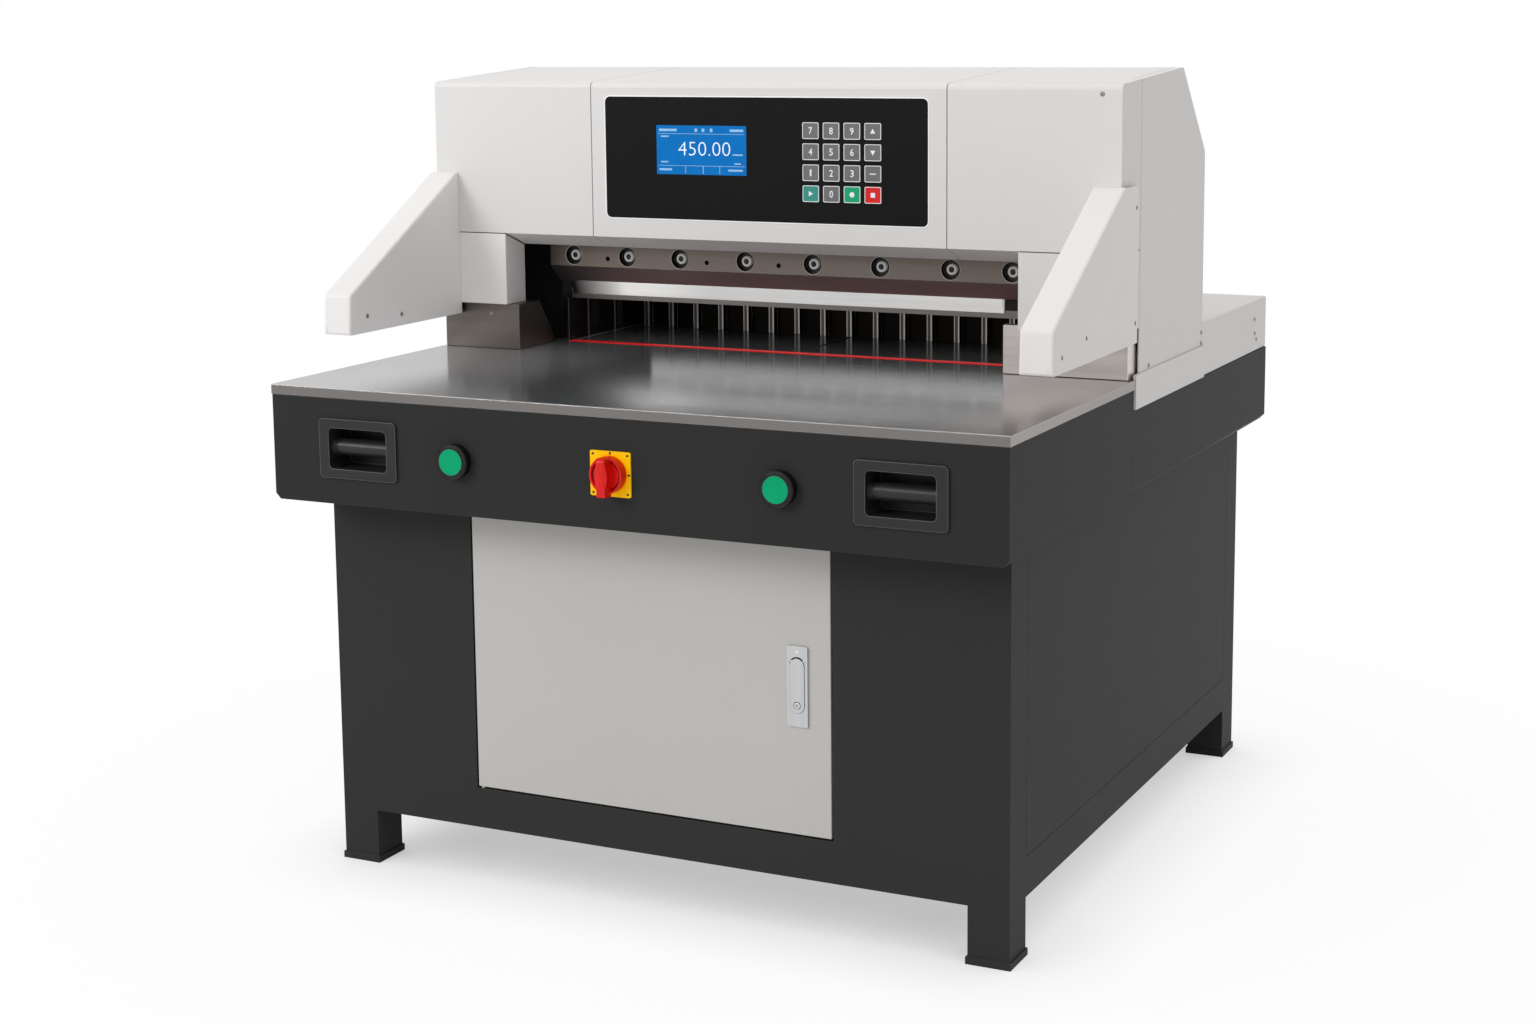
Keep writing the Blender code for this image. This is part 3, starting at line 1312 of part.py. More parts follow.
def screw_bracket_setbacks():
    """The front limits of the two brackets that carry the lead screw."""
    return SCREW_FRONT_SETBACK, SCREW_BACK_SETBACK - SCREW_BRACKET_DEPTH


def gauge_neck_setback():
    """The middle of the neck that joins the gauge to its nut."""
    return GAUGE_SETBACK + GAUGE_TOOTH_DEPTH + GAUGE_BEAM_DEPTH / 2


def stick_limits():
    """The x limits of the cutting stick, between the side lays."""
    return (LAY_LEFT_X, LAY_RIGHT_X)


def make_table():
    table = prism("table_plate", table_outline(), "z", (TABLE_UNDERSIDE, TABLE_HEIGHT))
    round_edges(table, TABLE_EDGE_RADIUS, 1)
    lay_top = TABLE_HEIGHT + LAY_HEIGHT
    for name, inner, outward in (("left", LAY_LEFT_X, -1), ("right", LAY_RIGHT_X, 1)):
        lay = block(
            "side_lay_" + name,
            sorted((inner, inner + outward * LAY_THICKNESS)),
            depth(LAY_FRONT_SETBACK, LAY_BACK_SETBACK),
            (TABLE_HEIGHT - WELD_LAP, lay_top),
        )
        pitch = (LAY_BACK_SETBACK - LAY_FRONT_SETBACK) / LAY_RIB_COUNT
        ribs = blocks(
            "lay_ribs_" + name,
            [
                (
                    sorted((inner + outward * WELD_LAP, inner - outward * LAY_RIB_HEIGHT)),
                    around(at(LAY_FRONT_SETBACK + (step + 1) * pitch - pitch / 4), LAY_RIB_WIDTH),
                    (TABLE_HEIGHT - WELD_LAP, lay_top - LAY_RIB_WIDTH),
                )
                for step in range(LAY_RIB_COUNT)
            ],
        )
        join(table, lay, ribs)
    for front in screw_bracket_setbacks():
        bracket = block(
            "screw_bracket",
            around(0, SCREW_BRACKET_WIDTH),
            depth(front, front + SCREW_BRACKET_DEPTH),
            (TABLE_UNDERSIDE - SCREW_BRACKET_DROP, TABLE_UNDERSIDE + WELD_LAP),
        )
        join(table, bracket)
    groove = block(
        "stick_groove",
        (stick_limits()[0] - FIT_GAP, stick_limits()[1] + FIT_GAP),
        around(at(CUT_SETBACK), STICK_WIDTH + 2 * FIT_GAP),
        (TABLE_HEIGHT - STICK_DEPTH - FIT_GAP, TABLE_HEIGHT + OVERRUN),
    )
    neck = gauge_neck_setback()
    room = GAUGE_NECK_DEPTH / 2 + SEAM
    drive_slot = block(
        "drive_slot",
        around(0, GAUGE_NECK_WIDTH + 2 * GAUGE_SLOT_GAP),
        depth(neck - GAUGE_FORWARD_TRAVEL - room, neck + GAUGE_BACKWARD_TRAVEL + room),
        (TABLE_UNDERSIDE - OVERRUN, TABLE_HEIGHT + OVERRUN),
    )
    centres = [
        (0, at(front + SCREW_BRACKET_DEPTH / 2), SCREW_Z) for front in screw_bracket_setbacks()
    ]
    journals = rods(
        "journal_holes",
        centres,
        SCREW_JOURNAL_RADIUS + SCREW_PLAY,
        SCREW_BRACKET_DEPTH + 2 * SEAM,
        (0, 1, 0),
    )
    cut(table, groove, drive_slot, journals)
    return ground_steel(table)


def make_stick():
    stick = block(
        "cutting_stick",
        stick_limits(),
        around(at(CUT_SETBACK), STICK_WIDTH),
        (TABLE_HEIGHT - STICK_DEPTH, TABLE_HEIGHT + STICK_PROUD),
    )
    return finish(stick, (0.70, 0.02, 0.02), 0.4, 0)


def head_outline(inset, bottom):
    """The side view of the head's outer skin, moved inwards by an inset."""
    rise = math.atan2(HEAD_TOP_BACK_Z - HEAD_FRONT_TOP_Z, HEAD_TOP_BACK_SETBACK - HEAD_SETBACK)
    fall = math.atan2(HEAD_TOP_BACK_Z - HEAD_BACK_TOP_Z, HEAD_BACK_SETBACK - HEAD_TOP_BACK_SETBACK)
    ridge = (rise + fall) / 2
    ridge_reach = inset / math.cos(ridge)
    ridge_lean = (fall - rise) / 2
    return [
        (at(HEAD_SETBACK + inset), bottom),
        (at(HEAD_SETBACK + inset), HEAD_FRONT_TOP_Z - inset * (1 / math.cos(rise) - math.tan(rise))),
        (
            at(HEAD_TOP_BACK_SETBACK) - ridge_reach * math.sin(ridge_lean),
            HEAD_TOP_BACK_Z - ridge_reach * math.cos(ridge_lean),
        ),
        (
            at(HEAD_BACK_SETBACK - inset),
            HEAD_BACK_TOP_Z - inset * math.tan((math.pi / 2 - fall) / 2),
        ),
        (at(HEAD_BACK_SETBACK - inset), bottom),
    ]


def head_shell(name):
    """The whole skin of the head, open below, from which each cover keeps its own part."""
    half = HEAD_WIDTH / 2
    skin_outline = softened(head_outline(0, GUARD_BOTTOM_Z), HEAD_EDGE_RADIUS)
    skin = prism(name, skin_outline, "x", (-half, half))
    round_edges(skin, HEAD_EDGE_RADIUS, BEVEL_SEGMENTS + 1)
    inside = half - COVER_SHEET
    inner_radius = HEAD_EDGE_RADIUS - COVER_SHEET
    inner_outline = softened(head_outline(COVER_SHEET, GUARD_BOTTOM_Z - OVERRUN), inner_radius)
    hollow = prism(name + "_hollow", inner_outline, "x", (-inside, inside))
    round_edges(hollow, inner_radius, BEVEL_SEGMENTS + 1)
    return cut(skin, hollow)


def lip_outline():
    """The side view of the sheet lip that slopes back over the mouth."""
    slope = math.atan2(LIP_DROP, LIP_DEPTH)
    rise = COVER_SHEET / math.cos(slope)
    nose = COVER_SHEET
    return [
        (at(HEAD_SETBACK), MOUTH_TOP_Z),
        (at(HEAD_SETBACK + LIP_DEPTH), MOUTH_TOP_Z - LIP_DROP),
        (at(HEAD_SETBACK + LIP_DEPTH), MOUTH_TOP_Z - LIP_DROP + rise),
        (at(HEAD_SETBACK) + nose / 2, MOUTH_TOP_Z + rise),
    ]


def front_cover(name, left, right, lip_left, lip_right):
    """One front cover of the head: face, top and the lip over the mouth."""
    top_left = max(left, HEAD_TOP_SEAM_INSET - HEAD_WIDTH / 2)
    top_right = min(right, HEAD_WIDTH / 2 - HEAD_TOP_SEAM_INSET)
    cover = head_shell(name)
    face = block(
        name + "_face",
        (left, right),
        depth(HEAD_SETBACK - OVERRUN, HEAD_SIDE_SEAM_SETBACK),
        (MOUTH_TOP_Z, HEAD_TOP_BACK_Z + OVERRUN),
    )
    top = block(
        name + "_top",
        (top_left, top_right),
        depth(HEAD_SIDE_SEAM_SETBACK - OVERRUN, HEAD_TOP_BACK_SETBACK - SEAM),
        (HEAD_BACK_TOP_Z, HEAD_TOP_BACK_Z + 2 * OVERRUN),
    )
    freeze(join(face, top))
    keep(cover, face)
    lip = prism(name + "_lip", lip_outline(), "x", (lip_left, lip_right))
    return join(cover, lip)


def make_front_covers():
    half = HEAD_WIDTH / 2 + OVERRUN
    gap = SEAM / 2
    left = front_cover(
        "head_cover_left",
        -half,
        HEAD_SEAM_LEFT_X - gap,
        MOUTH_LEFT_X + SEAM,
        HEAD_SEAM_LEFT_X - gap,
    )
    white_paint(left)
    centre = front_cover(
        "head_cover_center",
        HEAD_SEAM_LEFT_X + gap,
        HEAD_SEAM_RIGHT_X - gap,
        HEAD_SEAM_LEFT_X + gap,
        HEAD_SEAM_RIGHT_X - gap,
    )
    gap_round = PANEL_CUTOUT_GAP
    window = prism(
        "panel_cutout",
        rounded_outline(
            (PANEL_LEFT_X - gap_round, PANEL_LOW_Z - gap_round),
            (PANEL_RIGHT_X + gap_round, PANEL_HIGH_Z + gap_round),
            PANEL_CORNER_RADIUS + gap_round,
        ),
        "y",
        depth(HEAD_SETBACK - OVERRUN, HEAD_SETBACK + OVERRUN),
    )
    white_paint(cut(centre, window))
    right = front_cover(
        "head_cover_right",
        HEAD_SEAM_RIGHT_X + gap,
        half,
        HEAD_SEAM_RIGHT_X + gap,
        MOUTH_RIGHT_X - SEAM,
    )
    white_paint(right)


def make_column_cover(name, side, inner_x):
    """The cover of a column's front, with its side return and the reveal turned in at the mouth."""
    cover = head_shell(name)
    bottom = SLEEVE_TOP_Z + FIT_GAP
    top = MOUTH_TOP_Z - SEAM
    face = block(
        name + "_face",
        sorted((inner_x, side * (HEAD_WIDTH / 2 + OVERRUN))),
        depth(HEAD_SETBACK - OVERRUN, HEAD_SIDE_SEAM_SETBACK),
        (bottom, top),
    )
    keep(cover, face)
    slope = LIP_DROP / LIP_DEPTH
    root = COVER_SHEET / 2
    outline = [
        (at(HEAD_SETBACK + root), bottom),
        (at(HEAD_SETBACK + LIP_DEPTH), bottom),
        (at(HEAD_SETBACK + LIP_DEPTH), top - LIP_DEPTH * slope),
        (at(HEAD_SETBACK + root), top - root * slope),
    ]
    reveal = prism(name + "_reveal", outline, "x", sorted((inner_x, inner_x + side * COVER_SHEET)))
    join(cover, reveal)
    return white_paint(cover)


def make_rear_cover():
    """The folded cover that makes the head's sides, sloped back and back wall."""
    cover = head_shell("head_rear_cover")
    half = HEAD_WIDTH / 2 + OVERRUN
    region = block(
        "rear_region",
        (-half, half),
        depth(HEAD_SIDE_SEAM_SETBACK + SEAM, HEAD_BACK_SETBACK + OVERRUN),
        (HEAD_SIDE_BOTTOM_Z, HEAD_TOP_BACK_Z + OVERRUN),
    )
    keep(cover, region)
    top_room = block(
        "top_room",
        around(0, HEAD_WIDTH - 2 * HEAD_TOP_SEAM_INSET + 2 * SEAM),
        depth(HEAD_SIDE_SEAM_SETBACK - OVERRUN, HEAD_TOP_BACK_SETBACK),
        (HEAD_BACK_TOP_Z + HEAD_TOP_SEAM_INSET, HEAD_TOP_BACK_Z + 2 * OVERRUN),
    )
    window = block(
        "rear_window",
        (REAR_WINDOW_LEFT_X, REAR_WINDOW_RIGHT_X),
        depth(HEAD_BACK_SETBACK - 2 * OVERRUN, HEAD_BACK_SETBACK + OVERRUN),
        (HEAD_SIDE_BOTTOM_Z - OVERRUN, REAR_WINDOW_TOP_Z),
    )
    cut(cover, top_room, window)
    return white_paint(cover)


def make_rear_guard():
    """The guard round three sides of the rear table, and the low strips that run on beside the head."""
    front = HEAD_BACK_SETBACK + SEAM
    half = HEAD_WIDTH / 2
    guard = block("rear_table_cover", (-half, half), depth(front, BODY_DEPTH), (GUARD_BOTTOM_Z, GUARD_TOP_Z))
    round_edges(guard, GUARD_EDGE_RADIUS)
    inner = half - COVER_SHEET
    hollow_z = (GUARD_BOTTOM_Z - OVERRUN, GUARD_TOP_Z - COVER_SHEET)
    left_wall = LAY_LEFT_X - LAY_THICKNESS - FIT_GAP
    right_wall = LAY_RIGHT_X + LAY_THICKNESS + FIT_GAP
    back_wall = TABLE_BACK_SETBACK + FIT_GAP
    hollow_y = depth(front + COVER_SHEET, BODY_DEPTH - COVER_SHEET)
    cut(
        guard,
        block(
            "guard_mouth",
            (left_wall, right_wall),
            depth(front - OVERRUN, back_wall),
            (GUARD_BOTTOM_Z - OVERRUN, GUARD_TOP_Z + OVERRUN),
        ),
        block("guard_hollow_left", (-inner, left_wall - COVER_SHEET), hollow_y, hollow_z),
        block("guard_hollow_right", (right_wall + COVER_SHEET, inner), hollow_y, hollow_z),
        block(
            "guard_hollow_back",
            (left_wall - 2 * COVER_SHEET, right_wall + 2 * COVER_SHEET),
            depth(back_wall + COVER_SHEET, BODY_DEPTH - COVER_SHEET),
            hollow_z,
        ),
        block(
            "guard_clearance",
            around(0, CABINET_WIDTH + 2 * FIT_GAP),
            depth(front - OVERRUN, CABINET_BACK_SETBACK + FIT_GAP),
            (GUARD_BOTTOM_Z - OVERRUN, BODY_TOP_Z + FIT_GAP),
        ),
    )
    for x in sides(STRIP_WIDTH, 0, STRIP_THICKNESS):
        strip = block(
            "strip",
            x,
            depth(STRIP_FRONT_SETBACK, front + COVER_SHEET),
            (GUARD_BOTTOM_Z, STRIP_TOP_Z),
        )
        join(guard, strip)
    return white_paint(guard)


def make_sleeve(name, side, inner_x, front):
    """A stainless box round a column's foot, with a slanted back edge beside the knife."""
    outer_x = side * (HEAD_WIDTH / 2 - SLEEVE_OUTER_INSET)
    sleeve = block(
        name,
        sorted((inner_x, outer_x)),
        depth(front, SLEEVE_TOE_SETBACK),
        (TABLE_HEIGHT + FIT_GAP, SLEEVE_TOP_Z),
    )
    round_edges(sleeve, SLEEVE_SHEET / 2, 1)
    sheet = side * SLEEVE_SHEET
    hollow = block(
        name + "_hollow",
        sorted((inner_x + sheet, outer_x - sheet)),
        depth(front + SLEEVE_SHEET, SLEEVE_TOE_SETBACK + OVERRUN),
        (TABLE_HEIGHT - OVERRUN, SLEEVE_TOP_Z - SLEEVE_SHEET),
    )
    slope = (SLEEVE_TOE_SETBACK - SLEEVE_SHOULDER_SETBACK) / (SLEEVE_TOP_Z - TABLE_HEIGHT)
    slant = [
        (at(SLEEVE_SHOULDER_SETBACK - slope * OVERRUN), SLEEVE_TOP_Z + OVERRUN),
        (at(SLEEVE_TOE_SETBACK + slope * OVERRUN), TABLE_HEIGHT - OVERRUN),
        (at(SLEEVE_TOE_SETBACK) + 2 * OVERRUN, TABLE_HEIGHT - OVERRUN),
        (at(SLEEVE_TOE_SETBACK) + 2 * OVERRUN, SLEEVE_TOP_Z + OVERRUN),
    ]
    wedge = prism(name + "_slant", slant, "x", sorted((inner_x - side * OVERRUN, outer_x + side * OVERRUN)))
    cut(sleeve, hollow, wedge)
    return stainless(sleeve)


def arm_outline(inset):
    """The side view of a guard arm, moved inwards by an inset."""
    slope = math.atan2(ARM_TOP_Z - ARM_NOSE_Z, ARM_BROW_SETBACK - ARM_NOSE_SETBACK)
    brow = inset * math.tan(slope / 2)
    nose = inset * math.tan((math.pi / 2 - slope) / 2)
    return [
        (at(ARM_TIP_SETBACK + inset), ARM_BOTTOM_Z + inset),
        (at(ARM_CHEEK_BACK_SETBACK), ARM_BOTTOM_Z + inset),
        (at(ARM_CHEEK_BACK_SETBACK), ARM_TOP_Z - inset),
        (at(ARM_BROW_SETBACK) + brow, ARM_TOP_Z - inset),
        (at(ARM_NOSE_SETBACK + inset), ARM_NOSE_Z - nose),
    ]


def make_arm(name, side):
    """A guard arm: a folded housing on the head's front, whose outer cheek laps along the head's side."""
    outer_x = side * ARM_SPAN / 2
    inner_x = outer_x - side * ARM_WIDTH
    arm = prism(name, arm_outline(0), "x", sorted((inner_x, outer_x)))
    round_edges(arm, ARM_EDGE_RADIUS, BEVEL_SEGMENTS, math.radians(25))
    sheet = side * COVER_SHEET
    back = HEAD_SETBACK - FIT_GAP
    inside_x = sorted((inner_x + sheet, outer_x - sheet))
    hollow = prism(name + "_hollow", arm_outline(COVER_SHEET), "x", inside_x)
    lap = block(
        name + "_lap",
        sorted((inner_x - sheet, side * (HEAD_WIDTH / 2 + FIT_GAP))),
        depth(back, ARM_CHEEK_BACK_SETBACK + OVERRUN),
        (ARM_BOTTOM_Z - OVERRUN, ARM_TOP_Z + OVERRUN),
    )
    mouth = block(
        name + "_mouth",
        inside_x,
        depth(back, ARM_CHEEK_BACK_SETBACK + OVERRUN),
        (ARM_BOTTOM_Z - OVERRUN, ARM_TOP_Z + OVERRUN),
    )
    seam_x = outer_x - side * (COVER_SHEET + ARM_EDGE_RADIUS)
    seam = block(
        name + "_seam",
        sorted((seam_x, seam_x - side * ARM_SEAM_WIDTH)),
        depth(ARM_TIP_SETBACK - OVERRUN, ARM_TIP_SETBACK + ARM_SEAM_DEPTH),
        (ARM_BOTTOM_Z - OVERRUN, ARM_NOSE_Z),
    )
    cut(arm, hollow, lap, mouth, seam)
    return white_paint(arm)


def key_centre(row, column):
    return KEY_FIRST_X + column * KEY_PITCH_X, KEY_FIRST_Z - row * KEY_PITCH_Z


def key_grid():
    return [(row, column) for row in range(KEY_ROWS) for column in range(KEY_COLUMNS)]


def make_panel():
    """The control panel: front plate, rebate behind the cover, console box, display and key pockets."""
    face = HEAD_SETBACK - PANEL_PROUD
    seat = HEAD_SETBACK + COVER_SHEET + FIT_GAP
    low = (PANEL_LEFT_X, PANEL_LOW_Z)
    high = (PANEL_RIGHT_X, PANEL_HIGH_Z)
    panel = prism(
        "control_panel",
        rounded_outline(low, high, PANEL_CORNER_RADIUS),
        "y",
        depth(face, seat + WELD_LAP),
    )
    rebate = block(
        "panel_rebate",
        (PANEL_LEFT_X - PANEL_REBATE, PANEL_RIGHT_X + PANEL_REBATE),
        depth(seat, seat + PANEL_REBATE_THICKNESS),
        (PANEL_LOW_Z - PANEL_REBATE, PANEL_HIGH_Z + PANEL_REBATE),
    )
    console = block(
        "console",
        (PANEL_LEFT_X + CONSOLE_MARGIN, PANEL_RIGHT_X - CONSOLE_MARGIN),
        depth(seat, seat + CONSOLE_DEPTH),
        (PANEL_LOW_Z + CONSOLE_MARGIN, PANEL_HIGH_Z - CONSOLE_MARGIN),
    )
    join(panel, rebate, console)
    display_pocket = block(
        "display_pocket",
        (DISPLAY_LEFT_X - FIT_GAP, DISPLAY_RIGHT_X + FIT_GAP),
        depth(face - OVERRUN, face + DISPLAY_SINK + DISPLAY_THICKNESS + FIT_GAP),
        (DISPLAY_LOW_Z - FIT_GAP, DISPLAY_HIGH_Z + FIT_GAP),
    )
    pockets = []
    floor = face - KEY_PROUD + KEY_THICKNESS + KEY_FLOOR_GAP
    for row, column in key_grid():
        x, z = key_centre(row, column)
        pockets.append(
            (
                around(x, KEY_WIDTH + 2 * KEY_PLAY),
                depth(face - OVERRUN, floor),
                around(z, KEY_HEIGHT + 2 * KEY_PLAY),
            )
        )
    cut(panel, display_pocket, blocks("key_pockets", pockets))
    black_plastic(panel)
    window = block(
        "display_window",
        (DISPLAY_LEFT_X, DISPLAY_RIGHT_X),
        depth(face + DISPLAY_SINK, face + DISPLAY_SINK + DISPLAY_THICKNESS),
        (DISPLAY_LOW_Z, DISPLAY_HIGH_Z),
    )
    finish(window, (0.02, 0.22, 0.75), 0.15, 0)


def key_colour(row, column):
    """Grey keys, but the bottom row ends in green and red."""
    if row < KEY_ROWS - 1:
        return (0.22, 0.23, 0.24)
    return ((0.08, 0.34, 0.30), (0.22, 0.23, 0.24), (0.02, 0.42, 0.20), (0.75, 0.03, 0.03))[column]


def make_keys():
    face = HEAD_SETBACK - PANEL_PROUD - KEY_PROUD
    for row, column in key_grid():
        x, z = key_centre(row, column)
        name = f"key_r{row + 1}c{column + 1}"
        key = block(
            name,
            around(x, KEY_WIDTH),
            depth(face, face + KEY_THICKNESS),
            around(z, KEY_HEIGHT),
        )
        round_edges(key, KEY_EDGE_RADIUS, 1)
        finish(key, key_colour(row, column), 0.45, 0)
        joint_axis(name + "_axis", (x, at(face), z), [key])


def make_bridge():
    """The cast bridge: two columns and a ribbed beam, with the knife's guide bolts and the clamp's bushes."""
    outer = BRIDGE_COLUMN_INNER_X + BRIDGE_COLUMN_WIDTH
    inner = BRIDGE_COLUMN_INNER_X
    base = BODY_TOP_Z + FIT_GAP
    outline = [
        (-outer, base),
        (-inner + BRIDGE_FOOT_REACH, base),
        (-inner + BRIDGE_FOOT_REACH, base + BRIDGE_FOOT_HEIGHT),
        (-inner, base + BRIDGE_FOOT_HEIGHT),
        (-inner, BRIDGE_BEAM_BOTTOM_Z),
        (inner, BRIDGE_BEAM_BOTTOM_Z),
        (inner, base + BRIDGE_FOOT_HEIGHT),
        (inner - BRIDGE_FOOT_REACH, base + BRIDGE_FOOT_HEIGHT),
        (inner - BRIDGE_FOOT_REACH, base),
        (outer, base),
        (outer, BRIDGE_TOP_Z),
        (-outer, BRIDGE_TOP_Z),
    ]
    bridge = prism("portal_frame", outline, "y", depth(BRIDGE_SETBACK, BRIDGE_BACK_SETBACK))
    pitch = 2 * inner / BRIDGE_POCKET_COUNT
    pockets = [
        (
            around((step + 1 / 2) * pitch - inner, pitch - BRIDGE_FLANGE),
            depth(BRIDGE_SETBACK + BRIDGE_WEB, BRIDGE_BACK_SETBACK + OVERRUN),
            (BRIDGE_BEAM_BOTTOM_Z + BRIDGE_FLANGE, BRIDGE_TOP_Z - BRIDGE_FLANGE),
        )
        for step in range(BRIDGE_POCKET_COUNT)
    ]
    cut(bridge, blocks("bridge_pockets", pockets))
    root = BRIDGE_SETBACK + WELD_LAP
    head_back = CARRIER_SETBACK - SLIDE_GAP
    bolt_front = head_back - WELD_LAP
    bolt_middle = at((root + bolt_front) / 2)
    bolt_places = [(side * GUIDE_BOLT_X, bolt_middle, GUIDE_BOLT_Z) for side in (-1, 1)]
    bolts = rods("guide_bolts", bolt_places, GUIDE_BOLT_RADIUS, root - bolt_front, (0, 1, 0))
    head_middle = at(head_back - GUIDE_HEAD_THICKNESS / 2)
    head_places = [(x, head_middle, z) for x, y, z in bolt_places]
    heads = rods("guide_heads", head_places, GUIDE_HEAD_RADIUS, GUIDE_HEAD_THICKNESS, (0, 1, 0))
    join(bridge, bolts, heads)
    for side in (-1, 1):
        bush = block(
            "guide_bush",
            around(side * GUIDE_BUSH_X, GUIDE_BUSH_WIDTH),
            depth(CLAMP_SETBACK, root),
            (GUIDE_BUSH_LOW_Z, GUIDE_BUSH_HIGH_Z),
        )
        join(bridge, bush)
    rod_places = [
        (side * GUIDE_BUSH_X, at(CLAMP_ROD_SETBACK), (GUIDE_BUSH_LOW_Z + GUIDE_BUSH_HIGH_Z) / 2)
        for side in (-1, 1)
    ]
    bush_height = GUIDE_BUSH_HIGH_Z - GUIDE_BUSH_LOW_Z + 2 * OVERRUN
    cut(bridge, rods("bush_holes", rod_places, CLAMP_ROD_RADIUS + FIT_GAP, bush_height, (0, 0, 1)))
    x, y, z = trunnion_centre()
    front = knife_rod_setback() - CYLINDER_EYE_THICKNESS / 2 - TRUNNION_REACH
    pin = rod("trunnion", (x, at((front + root) / 2), z), TRUNNION_RADIUS, root - front, (0, 1, 0))
    join(bridge, pin, *cover_lugs())
    return cast_paint(bridge)


def cover_lugs():
    """Lugs on top of the bridge, sloped to carry the head's three covers."""
    lugs = []
    for centre in (-COVER_LUG_X, 0, COVER_LUG_X):
        lug = block(
            "cover_lug",
            around(centre, COVER_LUG_WIDTH),
            depth(BRIDGE_SETBACK + BRIDGE_WEB, BRIDGE_SETBACK + BRIDGE_WEB + COVER_LUG_DEPTH),
            (BRIDGE_TOP_Z - WELD_LAP, HEAD_TOP_BACK_Z + OVERRUN),
        )
        outline = head_outline(COVER_SHEET + FIT_GAP, GUARD_BOTTOM_Z)
        lugs.append(freeze(keep(lug, prism("lug_region", outline, "x", around(0, HEAD_WIDTH)))))
    return lugs


def knife_rod_setback():
    """The knife's rod and cylinder lie in the middle plane of the carrier."""
    return CARRIER_SETBACK + CARRIER_THICKNESS / 2


def along_knife(distance):
    """A point on the knife rod's axis, this far up from the bottom of its notch."""
    foot = Vector((KNIFE_ROD_X, at(knife_rod_setback()), KNIFE_NOTCH_Z))
    return foot + KNIFE_UP * distance


def trunnion_centre():
    rise = KNIFE_CYLINDER_GAP + KNIFE_CYLINDER_LENGTH + CYLINDER_EYE_LENGTH - CYLINDER_EYE_WIDTH / 2
    return along_knife(rise)


def cylinder_profile(radius, length):
    """The section of a cylinder about its axis, from its top cap down, open at the rod's end."""
    bore = radius - CYLINDER_WALL
    mouth = ROD_RADIUS + FIT_GAP
    return [
        (0, length),
        (radius, length),
        (radius, 0),
        (mouth, 0),
        (mouth, CYLINDER_CAP),
        (bore, CYLINDER_CAP),
        (bore, length - CYLINDER_CAP),
        (0, length - CYLINDER_CAP),
    ]


def rod_profile(bore, start, end):
    """The section of a rod from its foot to the piston at its top."""
    piston = bore - FIT_GAP
    return [
        (0, end),
        (piston, end),
        (piston, end - PISTON_THICKNESS),
        (ROD_RADIUS, end - PISTON_THICKNESS),
        (ROD_RADIUS, start),
        (0, start),
    ]


def make_knife_cylinder():
    """The slanted cylinder that drives the knife, hung by its eye on the bridge's trunnion."""
    cylinder = turned(
        "knife_cylinder",
        cylinder_profile(KNIFE_CYLINDER_RADIUS, KNIFE_CYLINDER_LENGTH),
        along_knife(KNIFE_CYLINDER_GAP),
        KNIFE_UP,
    )
    freeze(cylinder)
    half = CYLINDER_EYE_WIDTH / 2
    start = along_knife(KNIFE_CYLINDER_GAP + KNIFE_CYLINDER_LENGTH - CYLINDER_CAP / 2)
    centre = trunnion_centre()
    outline = stadium_outline((start.x, start.z), (centre.x, centre.z), half)
    eye_front = knife_rod_setback() - CYLINDER_EYE_THICKNESS / 2
    eye = prism("cylinder_eye", outline, "y", depth(eye_front, eye_front + CYLINDER_EYE_THICKNESS))
    inside = block(
        "eye_trim",
        around(start.x, 4 * half),
        depth(eye_front - OVERRUN, eye_front + CYLINDER_EYE_THICKNESS + OVERRUN),
        (start.z - 4 * half, start.z),
    )
    cut(eye, inside)
    freeze(eye)
    join(cylinder, eye)
    hole_length = CYLINDER_EYE_THICKNESS + 2 * OVERRUN
    hole_centre = (centre.x, at(knife_rod_setback()), centre.z)
    cut(cylinder, rod("eye_hole", hole_centre, TRUNNION_RADIUS + FIT_GAP, hole_length, (0, 1, 0)))
    return cast_paint(cylinder)


def make_clamp_cylinder():
    cylinder = turned(
        "clamp_cylinder",
        cylinder_profile(CLAMP_CYLINDER_RADIUS, CLAMP_CYLINDER_HIGH_Z - CLAMP_CYLINDER_LOW_Z),
        (0, at(CLAMP_ROD_SETBACK), CLAMP_CYLINDER_LOW_Z),
    )
    return cast_paint(cylinder)


def slanted_slot(name, start, length, radius, front, back):
    """A cutter for a round-ended slot that runs up the knife's slanted path from a point."""
    end = (start[0] + KNIFE_UP.x * length, start[1] + KNIFE_UP.z * length)
    return prism(name, stadium_outline(start, end, radius), "y", depth(front, back))


def knife_bolts(z, shares):
    """The x and z of a row of holes across the carrier."""
    return [(share * KNIFE_BOLT_HALF_SPAN, z) for share in shares]


